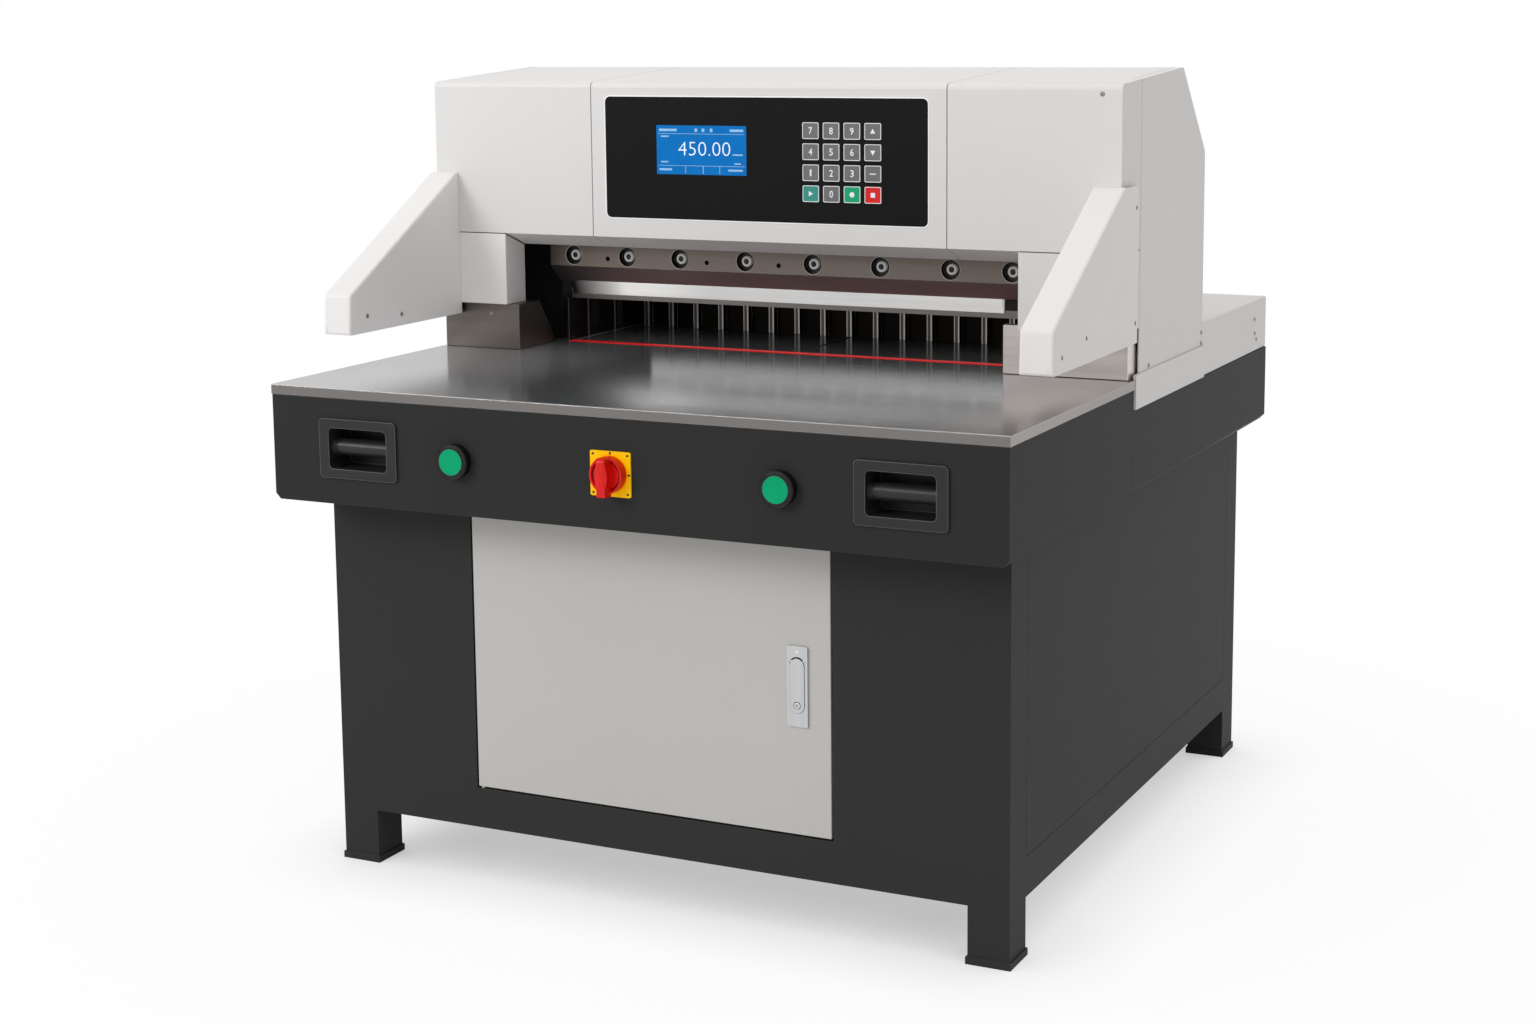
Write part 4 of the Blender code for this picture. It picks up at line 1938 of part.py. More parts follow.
def make_carrier():
    """The knife carrier: a tall plate with slanted guide slots, a notch for its cylinder and bolt pockets."""
    front = CARRIER_SETBACK
    back = CARRIER_SETBACK + CARRIER_THICKNESS
    outline = [
        (at(front), CARRIER_EDGE_Z),
        (at(back), BLADE_BEVEL_Z),
        (at(back), CARRIER_TOP_Z),
        (at(front), CARRIER_TOP_Z),
    ]
    carrier = prism("knife_carrier", outline, "x", (CARRIER_LEFT_X, CARRIER_RIGHT_X))
    slot_radius = GUIDE_BOLT_RADIUS + SLIDE_GAP
    for side in (-1, 1):
        start = (
            side * GUIDE_BOLT_X - KNIFE_UP.x * SLOT_END_ROOM,
            GUIDE_BOLT_Z - KNIFE_UP.z * SLOT_END_ROOM,
        )
        length = KNIFE_STROKE + 2 * SLOT_END_ROOM
        cut(carrier, slanted_slot("guide_slot", start, length, slot_radius, front - OVERRUN, back + OVERRUN))
    notch_radius = KNIFE_CYLINDER_RADIUS + KNIFE_NOTCH_GAP
    foot = along_knife(notch_radius)
    notch_length = CARRIER_TOP_Z - KNIFE_NOTCH_Z + notch_radius
    notch = slanted_slot(
        "cylinder_notch", (foot.x, foot.z), notch_length, notch_radius, front - OVERRUN, back + OVERRUN
    )
    pockets = rods(
        "bolt_pockets",
        [(x, at(front), z) for x, z in knife_bolts(KNIFE_BOLT_Z, KNIFE_BOLT_SHARES)],
        KNIFE_BOLT_POCKET_RADIUS,
        2 * KNIFE_BOLT_POCKET_DEPTH,
        (0, 1, 0),
    )
    holes = rods(
        "bolt_holes",
        [(x, at(front), z) for x, z in knife_bolts(KNIFE_BOLT_Z, KNIFE_BOLT_SHARES)],
        KNIFE_BOLT_HOLE_RADIUS,
        2 * (CARRIER_THICKNESS + OVERRUN),
        (0, 1, 0),
        SMALL_SEGMENTS,
    )
    setting = rods(
        "setting_holes",
        [(x, at(front), z) for x, z in knife_bolts(SETTING_HOLE_Z, SETTING_HOLE_SHARES)],
        SETTING_HOLE_RADIUS,
        2 * KNIFE_BOLT_POCKET_DEPTH,
        (0, 1, 0),
        SMALL_SEGMENTS,
    )
    cut(carrier, notch, pockets, holes, setting)
    bore = KNIFE_CYLINDER_RADIUS - CYLINDER_WALL
    top = KNIFE_CYLINDER_GAP + KNIFE_CYLINDER_LENGTH - CYLINDER_CAP - SEAM
    profile = rod_profile(bore, -WELD_LAP - KNIFE_NOTCH_GAP, top)
    piston_rod = turned("knife_rod", profile, along_knife(0), KNIFE_UP)
    freeze(piston_rod)
    join(carrier, piston_rod)
    return ground_steel(carrier)


def make_blade():
    """The knife: ground flat behind, bevelled in front."""
    front = BLADE_SETBACK
    back = BLADE_SETBACK + BLADE_THICKNESS
    outline = [
        (at(front), BLADE_BEVEL_Z),
        (at(back), BLADE_EDGE_Z),
        (at(back), BLADE_TOP_Z),
        (at(front), BLADE_TOP_Z),
    ]
    blade = prism("blade", outline, "x", (BLADE_LEFT_X, BLADE_RIGHT_X))
    places = [
        (x, at(front), z)
        for x, z in knife_bolts(KNIFE_BOLT_Z, KNIFE_BOLT_SHARES)
        if BLADE_LEFT_X + BLADE_BOLT_RADIUS < x < BLADE_RIGHT_X - BLADE_BOLT_RADIUS
    ]
    length = 2 * (BLADE_THICKNESS + OVERRUN)
    cut(blade, rods("blade_holes", places, BLADE_BOLT_RADIUS, length, (0, 1, 0), SMALL_SEGMENTS))
    return finish(blade, (0.78, 0.78, 0.78), 0.15, 1)


def tooth_places():
    return [GAUGE_FIRST_TOOTH_X + step * GAUGE_TOOTH_PITCH for step in range(GAUGE_TOOTH_COUNT)]


def make_clamp():
    """The clamp beam, combed below for the gauge's teeth, with its guide rods and piston rod."""
    clamp = block(
        "clamp_beam",
        (CLAMP_LEFT_X, CLAMP_RIGHT_X),
        depth(CLAMP_SETBACK, CLAMP_BACK_SETBACK),
        (CLAMP_BOTTOM_Z, CLAMP_TOP_Z),
    )
    comb_front = CLAMP_SETBACK + CLAMP_THICKNESS * CLAMP_COMB_FRONT_SHARE
    gaps = [
        (
            around(x, GAUGE_TOOTH_WIDTH + 2 * CLAMP_COMB_GAP),
            depth(comb_front, CLAMP_BACK_SETBACK + OVERRUN),
            (CLAMP_BOTTOM_Z - OVERRUN, CLAMP_BOTTOM_Z + CLAMP_COMB_DEPTH),
        )
        for x in tooth_places()
    ]
    cut(clamp, blocks("clamp_comb", gaps))
    top = GUIDE_BUSH_HIGH_Z + CLAMP_STROKE + CLAMP_ROD_OVERRUN
    low = CLAMP_TOP_Z - WELD_LAP
    guide_places = [(side * GUIDE_BUSH_X, at(CLAMP_ROD_SETBACK), (low + top) / 2) for side in (-1, 1)]
    join(clamp, rods("clamp_guides", guide_places, CLAMP_ROD_RADIUS, top - low, (0, 0, 1)))
    bore = CLAMP_CYLINDER_RADIUS - CYLINDER_WALL
    profile = rod_profile(bore, low, CLAMP_CYLINDER_HIGH_Z - CYLINDER_CAP - SEAM)
    piston_rod = turned("clamp_piston_rod", profile, (0, at(CLAMP_ROD_SETBACK), 0))
    freeze(piston_rod)
    join(clamp, piston_rod)
    return cast_paint(clamp)


def make_gauge():
    """The back gauge: a combed beam on the table, whose neck passes the slot to the screw's nut."""
    seat = TABLE_HEIGHT + FIT_GAP
    top = seat + GAUGE_HEIGHT
    beam_front = GAUGE_SETBACK + GAUGE_TOOTH_DEPTH
    left = LAY_LEFT_X + GAUGE_SIDE_GAP
    right = LAY_RIGHT_X - GAUGE_SIDE_GAP
    gauge = block("back_gauge", (left, right), depth(beam_front, beam_front + GAUGE_BEAM_DEPTH), (seat, top))
    teeth = [
        (
            around(x, GAUGE_TOOTH_WIDTH),
            depth(GAUGE_SETBACK, beam_front + WELD_LAP),
            (seat, top),
        )
        for x in tooth_places()
    ]
    neck_y = around(at(gauge_neck_setback()), GAUGE_NECK_DEPTH)
    neck = block("gauge_neck", around(0, GAUGE_NECK_WIDTH), neck_y, (SCREW_Z, seat + WELD_LAP))
    nut = block(
        "gauge_nut",
        around(0, NUT_WIDTH),
        around(at(gauge_neck_setback()), NUT_DEPTH),
        around(SCREW_Z, NUT_HEIGHT),
    )
    join(gauge, blocks("gauge_teeth", teeth), neck, nut)
    centre = (0, at(gauge_neck_setback()), SCREW_Z)
    cut(gauge, rod("nut_bore", centre, SCREW_RADIUS + SCREW_PLAY, NUT_DEPTH + 2 * OVERRUN, (0, 1, 0)))
    return finish(gauge, (0.30, 0.30, 0.31), 0.35, 0.9)


def make_screw():
    """The lead screw, turned down at both ends for its brackets; its threads are left to the finish."""
    front_bracket, back_bracket = screw_bracket_setbacks()
    body_front = front_bracket + SCREW_BRACKET_DEPTH + FIT_GAP
    body_back = back_bracket - FIT_GAP
    start = front_bracket - SCREW_END_ROOM
    end = back_bracket + SCREW_BRACKET_DEPTH + SCREW_END_ROOM
    profile = [
        (0, end - start),
        (SCREW_JOURNAL_RADIUS, end - start),
        (SCREW_JOURNAL_RADIUS, body_back - start),
        (SCREW_RADIUS, body_back - start),
        (SCREW_RADIUS, body_front - start),
        (SCREW_JOURNAL_RADIUS, body_front - start),
        (SCREW_JOURNAL_RADIUS, 0),
        (0, 0),
    ]
    screw = turned("lead_screw", profile, (0, at(start), SCREW_Z), (0, 1, 0))
    finish(screw, (0.55, 0.55, 0.56), 0.3, 1)
    joint_axis("lead_screw_axis", (0, at(start), SCREW_Z), [screw])
    return screw


def make_gauge_motor():
    """The motor behind the screw, with a socket over the screw's end."""
    front = screw_bracket_setbacks()[1] + SCREW_BRACKET_DEPTH + FIT_GAP
    motor = block(
        "gauge_motor",
        around(0, GAUGE_MOTOR_SIZE),
        depth(front, front + GAUGE_MOTOR_LENGTH),
        around(SCREW_Z - GAUGE_MOTOR_EDGE / 2, GAUGE_MOTOR_SIZE - GAUGE_MOTOR_EDGE),
    )
    round_edges(motor, GAUGE_MOTOR_EDGE / 2)
    socket = rod(
        "motor_socket",
        (0, at(front), SCREW_Z),
        SCREW_JOURNAL_RADIUS + SCREW_PLAY,
        2 * (SCREW_END_ROOM + SEAM),
        (0, 1, 0),
    )
    cut(motor, socket)
    return black_plastic(motor)


def tray_top():
    return LEG_CLEARANCE + TRAY_THICKNESS + FIT_GAP


def make_tank():
    """The oil tank: a sheet box with a flanged lid and an open filler neck."""
    x = (TANK_LEFT_X, TANK_RIGHT_X)
    y = depth(TANK_SETBACK, TANK_SETBACK + TANK_DEPTH)
    base = tray_top()
    tank = block("oil_tank", x, y, (base, base + TANK_HEIGHT))
    reach = TANK_LID_REACH
    lid = block(
        "tank_lid",
        (x[0] - reach, x[1] + reach),
        (y[0] - reach, y[1] + reach),
        (base + TANK_HEIGHT - TANK_LID_THICKNESS, base + TANK_HEIGHT),
    )
    neck_x = x[0] + TANK_FILLER_INSET
    neck_y = y[0] + TANK_FILLER_INSET
    neck_z = base + TANK_HEIGHT
    neck = rod(
        "tank_neck",
        (neck_x, neck_y, neck_z),
        TANK_FILLER_RADIUS,
        2 * TANK_FILLER_HEIGHT,
        (0, 0, 1),
    )
    join(tank, lid, neck)
    wall = TANK_SHEET
    hollow = block(
        "tank_hollow",
        (x[0] + wall, x[1] - wall),
        (y[0] + wall, y[1] - wall),
        (base + wall, base + TANK_HEIGHT - TANK_LID_THICKNESS),
    )
    bore = rod(
        "tank_bore",
        (neck_x, neck_y, neck_z),
        TANK_FILLER_BORE_RADIUS,
        2 * (TANK_FILLER_HEIGHT + OVERRUN),
        (0, 0, 1),
    )
    cut(tank, hollow, bore)
    return cast_paint(tank)


def make_pump_motor():
    """The motor lying on the tank's lid: body, end bells, foot and terminal box."""
    x = (TANK_LEFT_X + TANK_RIGHT_X) / 2 + TANK_FILLER_INSET
    lid = tray_top() + TANK_HEIGHT + FIT_GAP
    axis_z = lid + MOTOR_FOOT_HEIGHT + MOTOR_RADIUS - WELD_LAP
    front = TANK_SETBACK + (TANK_DEPTH - MOTOR_LENGTH) / 2
    end = MOTOR_LENGTH
    profile = [
        (0, end + MOTOR_BELL_LENGTH),
        (MOTOR_BELL_RADIUS / 2, end + MOTOR_BELL_LENGTH),
        (MOTOR_BELL_RADIUS, end + MOTOR_BELL_LENGTH / 2),
        (MOTOR_BELL_RADIUS, end),
        (MOTOR_RADIUS, end),
        (MOTOR_RADIUS, 0),
        (MOTOR_BELL_RADIUS, 0),
        (MOTOR_BELL_RADIUS, -MOTOR_BELL_LENGTH / 2),
        (MOTOR_BELL_RADIUS / 2, -MOTOR_BELL_LENGTH),
        (0, -MOTOR_BELL_LENGTH),
    ]
    motor = turned("pump_motor", profile, (x, at(front), axis_z), (0, 1, 0))
    freeze(motor)
    middle = at(front + MOTOR_LENGTH / 2)
    foot = block(
        "motor_foot",
        around(x, MOTOR_FOOT_WIDTH),
        around(middle, MOTOR_FOOT_LENGTH),
        (lid, lid + 2 * MOTOR_FOOT_HEIGHT),
    )
    box_low = axis_z + MOTOR_RADIUS / 2
    box = block(
        "terminal_box",
        around(x, MOTOR_BOX_SIZE),
        around(middle, MOTOR_BOX_SIZE),
        (box_low, axis_z + MOTOR_RADIUS + MOTOR_BOX_HEIGHT),
    )
    join(motor, foot, box)
    return finish(motor, (0.08, 0.16, 0.28), 0.5, 0.1)


def make_covers():
    make_front_covers()
    make_column_cover("column_cover_left", -1, MOUTH_LEFT_X)
    make_column_cover("column_cover_right", 1, MOUTH_RIGHT_X)
    make_rear_cover()
    make_rear_guard()
    make_sleeve("column_sleeve_left", -1, SLEEVE_LEFT_X, SLEEVE_LEFT_SETBACK)
    make_sleeve("column_sleeve_right", 1, SLEEVE_RIGHT_X, SLEEVE_RIGHT_SETBACK)
    make_arm("guard_arm_left", -1)
    make_arm("guard_arm_right", 1)


def make_cabinet_group():
    make_cabinet()
    make_side_panels()
    make_apron()
    make_skirt()
    door = make_door()
    housing = make_latch_housing()
    handle = make_latch_handle()
    plug, cam = make_lock()
    pin_x, pin_y = door_pin_axis()
    joint_axis("door_axis", (pin_x, pin_y, DOOR_BOTTOM_Z), [door, housing])
    joint_axis("latch_handle_axis", latch_pivot(), [handle])
    joint_axis("latch_lock_axis", (LATCH_X, at(latch_face_setback()), lock_z()), [plug, cam])


def make_mechanism():
    make_bridge()
    make_knife_cylinder()
    make_clamp_cylinder()
    carrier = make_carrier()
    blade = make_blade()
    joint_axis("knife_axis", along_knife(0), [carrier, blade])
    clamp = make_clamp()
    joint_axis("clamp_axis", (0, at(CLAMP_ROD_SETBACK), CLAMP_TOP_Z), [clamp])
    gauge = make_gauge()
    joint_axis("back_gauge_axis", (0, at(gauge_neck_setback()), TABLE_HEIGHT), [gauge])
    make_screw()
    make_gauge_motor()
    make_tank()
    make_pump_motor()


clear_scene()
MACHINE = new_collection("Paper cutting machine")
CUTTERS = new_collection("Cutters")
make_cabinet_group()
make_controls()
make_table()
make_stick()
make_covers()
make_panel()
make_keys()
make_mechanism()
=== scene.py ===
"""Looks of a guillotine paper cutter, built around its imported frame. Metres, +Z up; the front faces -y."""

import math

import bmesh
import bpy
from mathutils import Matrix, Vector
from mathutils.geometry import tessellate_polygon


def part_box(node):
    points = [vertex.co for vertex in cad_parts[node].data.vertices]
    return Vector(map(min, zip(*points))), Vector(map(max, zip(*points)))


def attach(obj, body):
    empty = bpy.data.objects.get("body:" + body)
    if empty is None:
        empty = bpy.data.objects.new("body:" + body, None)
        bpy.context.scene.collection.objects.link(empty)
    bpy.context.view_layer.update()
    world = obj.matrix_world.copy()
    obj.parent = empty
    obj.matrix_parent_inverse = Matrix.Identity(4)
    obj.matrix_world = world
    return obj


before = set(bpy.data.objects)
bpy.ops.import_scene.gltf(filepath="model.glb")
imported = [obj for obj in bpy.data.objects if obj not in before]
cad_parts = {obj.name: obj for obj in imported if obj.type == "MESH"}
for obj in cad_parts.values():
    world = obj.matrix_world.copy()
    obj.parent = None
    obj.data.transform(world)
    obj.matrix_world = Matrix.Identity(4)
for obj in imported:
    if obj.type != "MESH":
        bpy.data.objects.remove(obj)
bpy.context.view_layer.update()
FRONT_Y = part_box("front_apron")[0].y
TABLE_Z = 0.900

# Camera: the photograph's viewpoint
CAMERA_PLACE = (1.9561, -4.1549, 1.5332)
CAMERA_YAW = math.radians(26.092)
CAMERA_PITCH = math.radians(8.532)
CAMERA_ROLL = math.radians(-0.546)
CAMERA_LENS = 56.88
CAMERA_SHIFT = -0.0859

# Light
SKY_STRENGTH = 0.54
KEY_PLACE = (-4.5, -6.5, 4.5)
KEY_TARGET = (0, 0, 0.8)
KEY_SIZE = (4.0, 3.0)
KEY_POWER = 258
TOP_PLACE = (0.2, -0.3, 4.4)
TOP_TARGET = (0, 0, 1.0)
TOP_SIZE = (3.0, 3.0)
TOP_POWER = 26

# Floor: its share of plain white rises to all of it between the two fade distances
FLOOR_SIZE = 60
FLOOR_COLOUR = (0.93, 0.93, 0.93, 1)
FLOOR_WHITE_SHARE = 0.93
FLOOR_FADE = (0.8, 2.2)
# Near the machine, ambient occlusion darkens the floor's white glow within this reach: a painted shadow
FLOOR_SHADE_REACH = 0.22
FLOOR_SHADE_POWER = 0.36

# Edges: the rounding of paint's and of metal's, and the angle above which a new piece's edge stays sharp
PAINT_EDGE_RADIUS = 0.0015
METAL_EDGE_RADIUS = 0.0008
SHARP_ANGLE = math.radians(32)

# Small holes drawn in a finish as dark dots: painted shade in place of their depth
HOLE_RADIUS = 0.0042
HOLE_BORDER = 0.0006
PAINT_HOLE_SHADE = (0.06, 0.055, 0.05)
METAL_HOLE_SHADE = (0.02, 0.02, 0.02)

# Directions that surfaces face
FRONT = (0, -1, 0)
LEFT = (-1, 0, 0)
RIGHT = (1, 0, 0)
BACK = (0, 1, 0)
TOP = (0, 0, 1)


def at(setback):
    """The y of a place this far behind the apron's front face."""
    return FRONT_Y + setback


# Places of the small pieces and of changes of tone, in the frame's own metres
KNIFE_BOLT_HALF_SPAN = 0.470
KNIFE_BOLT_SHARES = (-0.974, -0.721, -0.477, -0.180, 0.118, 0.409, 0.704, 0.955)
KNIFE_BOLT_Z = 1.0755
KNIFE_BOLT_RADIUS = 0.0100
KNIFE_SOCKET_RADIUS = 0.0056
CARRIER_FACE_Y = at(0.658)
CARRIER_LOW_FACE_Y = at(0.6595)
POCKET_FLOOR_Y = at(0.671)
CARRIER_BAND_Z = 1.0545
GAUGE_FRONT_Y = at(0.950)
GAUGE_TOOTH_Y = at(0.9545)
GAUGE_BEAM_Y = at(0.9705)
GAUGE_TEETH = 16
GAUGE_TOOTH_ROOM = (0.0287, 0.0558)  # from the gauge's left and right ends to its outer teeth
GAUGE_TOOTH_GROOVE = (-0.0038, 0.0025)  # the dark middle's two sides, from the tooth's own middle
SWITCH_X = -0.006
SWITCH_DISC_THICKNESS = 0.014
SWITCH_DISC_GAP = 0.0003
CONTROL_Z = 0.790
BUTTON_CROWN = 0.0015
GRIP_BAR_SETBACK = 0.022
GRIP_HALF_LENGTH = 0.0555
PANEL_X = 0.01215
PANEL_FACE_Y = at(0.537)
PANEL_Z = 1.2755
PANEL_WIDTH = 0.6473
PANEL_HEIGHT = 0.223
ARM_OUTER_X = 0.700
BACK_WALL_Y = 0.7113
HEAD_BACK_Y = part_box("head_rear_cover")[1].y
GLAND_PLACE = (0.420, BACK_WALL_Y, 0.221)
ARM_HOLES = ((-0.529, 0.9925), (-0.4094, 1.0093), (-0.148, 1.0032), (-0.1476, 1.2027))
TABLE_HOLES = (
    (0.5888, -0.3117, TABLE_Z),
    (0.6039, -0.2628, TABLE_Z),
    (0.6376, -0.2341, TABLE_Z),
    (-0.5084, -0.3029, TABLE_Z),
)
COVER_SCREWS = (
    ((-0.579, -0.1937, 0.9688), FRONT),
    ((0.6543, -0.2017, 1.3976), FRONT),
    ((-0.641, -0.1848, 1.2028), RIGHT),
    ((-0.641, -0.1939, 1.1888), RIGHT),
    ((-0.641, -0.516, 0.9972), RIGHT),
    ((-0.641, -0.407, 0.9885), RIGHT),
    ((-0.641, -0.1949, 1.0002), RIGHT),
    ((0.690, -0.036, 0.915), RIGHT),
    ((0.690, 0.295, 0.9334), RIGHT),
    ((0.690, 0.295, 0.9133), RIGHT),
    ((0.690, 0.6841, 0.9131), RIGHT),
    ((0.690, 0.6888, 0.8834), RIGHT),
    ((0.690, 0.7009, 0.8704), RIGHT),
    ((-0.690, -0.036, 0.915), LEFT),
    ((-0.690, 0.295, 0.9334), LEFT),
    *(((x, BACK_WALL_Y, z), BACK) for x in (-0.62, 0.62) for z in (0.20, 0.42, 0.64)),
    *(((x, HEAD_BACK_Y, z), BACK) for x in (-0.665, 0.665) for z in (1.02, 1.17)),
)

# The display's lines, as shares of its width and height: left, right, top, bottom
DISPLAY_BARS = (
    (0.02, 0.98, 0.165, 0.175),
    (0.02, 0.98, 0.815, 0.825),
    (0.03, 0.23, 0.07, 0.12),
    (0.43, 0.46, 0.06, 0.13),
    (0.51, 0.54, 0.06, 0.13),
    (0.60, 0.63, 0.06, 0.13),
    (0.82, 0.97, 0.07, 0.12),
    (0.05, 0.14, 0.21, 0.24),
    (0.85, 0.96, 0.57, 0.60),
    (0.05, 0.13, 0.73, 0.76),
    (0.87, 0.94, 0.75, 0.78),
    (0.323, 0.329, 0.825, 0.98),
    (0.518, 0.526, 0.825, 0.98),
    (0.703, 0.709, 0.825, 0.98),
    (0.03, 0.17, 0.88, 0.92),
    (0.80, 0.96, 0.88, 0.92),
)

# The keys' signs by row: digits, or the letter of one of the outlines below
KEY_SIGNS = ("789u", "456d", "123s", "r0pq")
SIXTEENTH = 0.3927  # of a turn
SIGN_SHAPES = {
    "u": [(-0.0050, -0.0038), (0.0050, -0.0038), (0, 0.0048)],
    "d": [(-0.0050, 0.0038), (0, -0.0048), (0.0050, 0.0038)],
    "r": [(-0.0040, -0.0050), (0.0046, 0), (-0.0040, 0.0050)],
    "s": [(-0.0060, -0.0010), (0.0060, -0.0010), (0.0060, 0.0010), (-0.0060, 0.0010)],
    "p": [(0.0048 * math.cos(SIXTEENTH * step), 0.0048 * math.sin(SIXTEENTH * step)) for step in range(16)],
    "q": [(-0.0042, -0.0042), (0.0042, -0.0042), (0.0042, 0.0042), (-0.0042, 0.0042)],
}


class Finish:
    """A material under construction: short calls add its nodes and wire them."""

    def __init__(self, name, colour, roughness, metallic=0.0, specular=0.5):
        self.material = bpy.data.materials.new(name)
        self.material.use_nodes = True
        self.tree = self.material.node_tree
        self.shader = self.tree.nodes["Principled BSDF"]
        self.set("Base Color", (*colour, 1))
        self.set("Roughness", roughness)
        self.set("Metallic", metallic)
        self.set("Specular IOR Level", specular)
        self.object_place = self.add("ShaderNodeTexCoord").outputs["Object"]
        self.normal = None

    def set(self, socket, value):
        self.shader.inputs[socket].default_value = value

    def drive(self, socket, output):
        self.tree.links.new(output, self.shader.inputs[socket])

    def add(self, kind, inputs=None, **settings):
        node = self.tree.nodes.new(kind)
        for key, value in settings.items():
            setattr(node, key, value)
        for key, value in (inputs or {}).items():
            socket = node.inputs[key]
            if isinstance(value, bpy.types.NodeSocket):
                self.tree.links.new(value, socket)
            else:
                socket.default_value = value
        return node

    def place(self, stretch):
        node = self.add("ShaderNodeMapping", {"Vector": self.object_place, "Scale": stretch})
        return node.outputs["Vector"]

    def noise(self, scale, detail, stretch=(1, 1, 1)):
        inputs = {"Vector": self.place(stretch), "Scale": scale, "Detail": detail, "Roughness": 0.5}
        return self.add("ShaderNodeTexNoise", inputs).outputs["Fac"]

    def span(self, value, low, high, out_low=0.0, out_high=1.0):
        """Maps a value from one range to another, clamped."""
        node = self.add(
            "ShaderNodeMapRange",
            {"Value": value, "From Min": low, "From Max": high, "To Min": out_low, "To Max": out_high},
        )
        return node.outputs["Result"]

    def math(self, operation, first, second):
        node = self.add("ShaderNodeMath", {0: first, 1: second}, operation=operation)
        return node.outputs[0]

    def blend(self, factor, first, second):
        """A colour between two, by a factor."""
        node = self.add("ShaderNodeMix", data_type="RGBA", blend_type="MIX", clamp_factor=True)
        for index, value in ((0, factor), (6, first), (7, second)):
            socket = node.inputs[index]
            if isinstance(value, bpy.types.NodeSocket):
                self.tree.links.new(value, socket)
            else:
                socket.default_value = value if index == 0 else (*value, 1)
        return node.outputs[2]

    def axis(self, name):
        node = self.add("ShaderNodeSeparateXYZ", {"Vector": self.object_place})
        return node.outputs[name.upper()]

    def bump(self, height, strength, distance):
        inputs = {"Height": height, "Strength": strength, "Distance": distance}
        if self.normal is not None:
            inputs["Normal"] = self.normal
        self.normal = self.add("ShaderNodeBump", inputs).outputs["Normal"]
        self.drive("Normal", self.normal)

    def dots(self, places):
        """A mask that is 1 within small dots, such as holes and sunk screws, which the finishes fill with
        painted shade.
        """
        mask = 0.0
        for place in places:
            away = self.add("ShaderNodeVectorMath", {0: self.object_place, 1: place}, operation="DISTANCE")
            dot = self.span(away.outputs["Value"], HOLE_RADIUS, HOLE_RADIUS - HOLE_BORDER)
            mask = self.math("MAXIMUM", mask, dot)
        return mask

    def soft_edges(self, radius):
        """Rounds the shading of sharp edges and returns a mask that is 1 on them."""
        bevel = self.add("ShaderNodeBevel", {"Radius": radius}, samples=4).outputs["Normal"]
        flat = self.add("ShaderNodeNewGeometry").outputs["Normal"]
        dot = self.add("ShaderNodeVectorMath", {0: bevel, 1: flat}, operation="DOT_PRODUCT")
        self.normal = bevel
        self.drive("Normal", bevel)
        return self.span(dot.outputs["Value"], 0.995, 0.80)


def painted(name, colour, roughness, specular, peel=0.10, edge=0.15, drift=0.04, dots=()):
    """Powder coat: fine orange peel, slow drifts of tone, paler edges that are partly wear and partly a
    painted highlight, and dark dots of painted shade for small holes.
    """
    finish = Finish(name, colour, roughness, 0, specular)
    mask = finish.soft_edges(PAINT_EDGE_RADIUS)
    slow = finish.noise(2.2, 2)
    darker = tuple((1 - drift) * value for value in colour)
    lighter = tuple(min(1.0, (1 + drift / 2) * value) for value in colour)
    tone = finish.blend(finish.span(slow, 0.3, 0.7), darker, lighter)
    # Paler edges: partly wear, partly a painted highlight
    edge_colour = tuple(min(1.0, value + edge * (0.9 - value)) for value in colour)
    tone = finish.blend(mask, tone, edge_colour)
    if dots:
        # Dark dots over small holes: painted shade
        tone = finish.blend(finish.dots(dots), tone, PAINT_HOLE_SHADE)
    finish.drive("Base Color", tone)
    gloss = finish.span(finish.noise(35, 3), 0.3, 0.7, roughness - drift / 2, roughness + drift / 2)
    finish.drive("Roughness", gloss)
    finish.bump(finish.noise(1400, 2), peel, 0.0003)
    finish.bump(finish.noise(420, 2), peel * 0.4, 0.0003)
    return finish.material


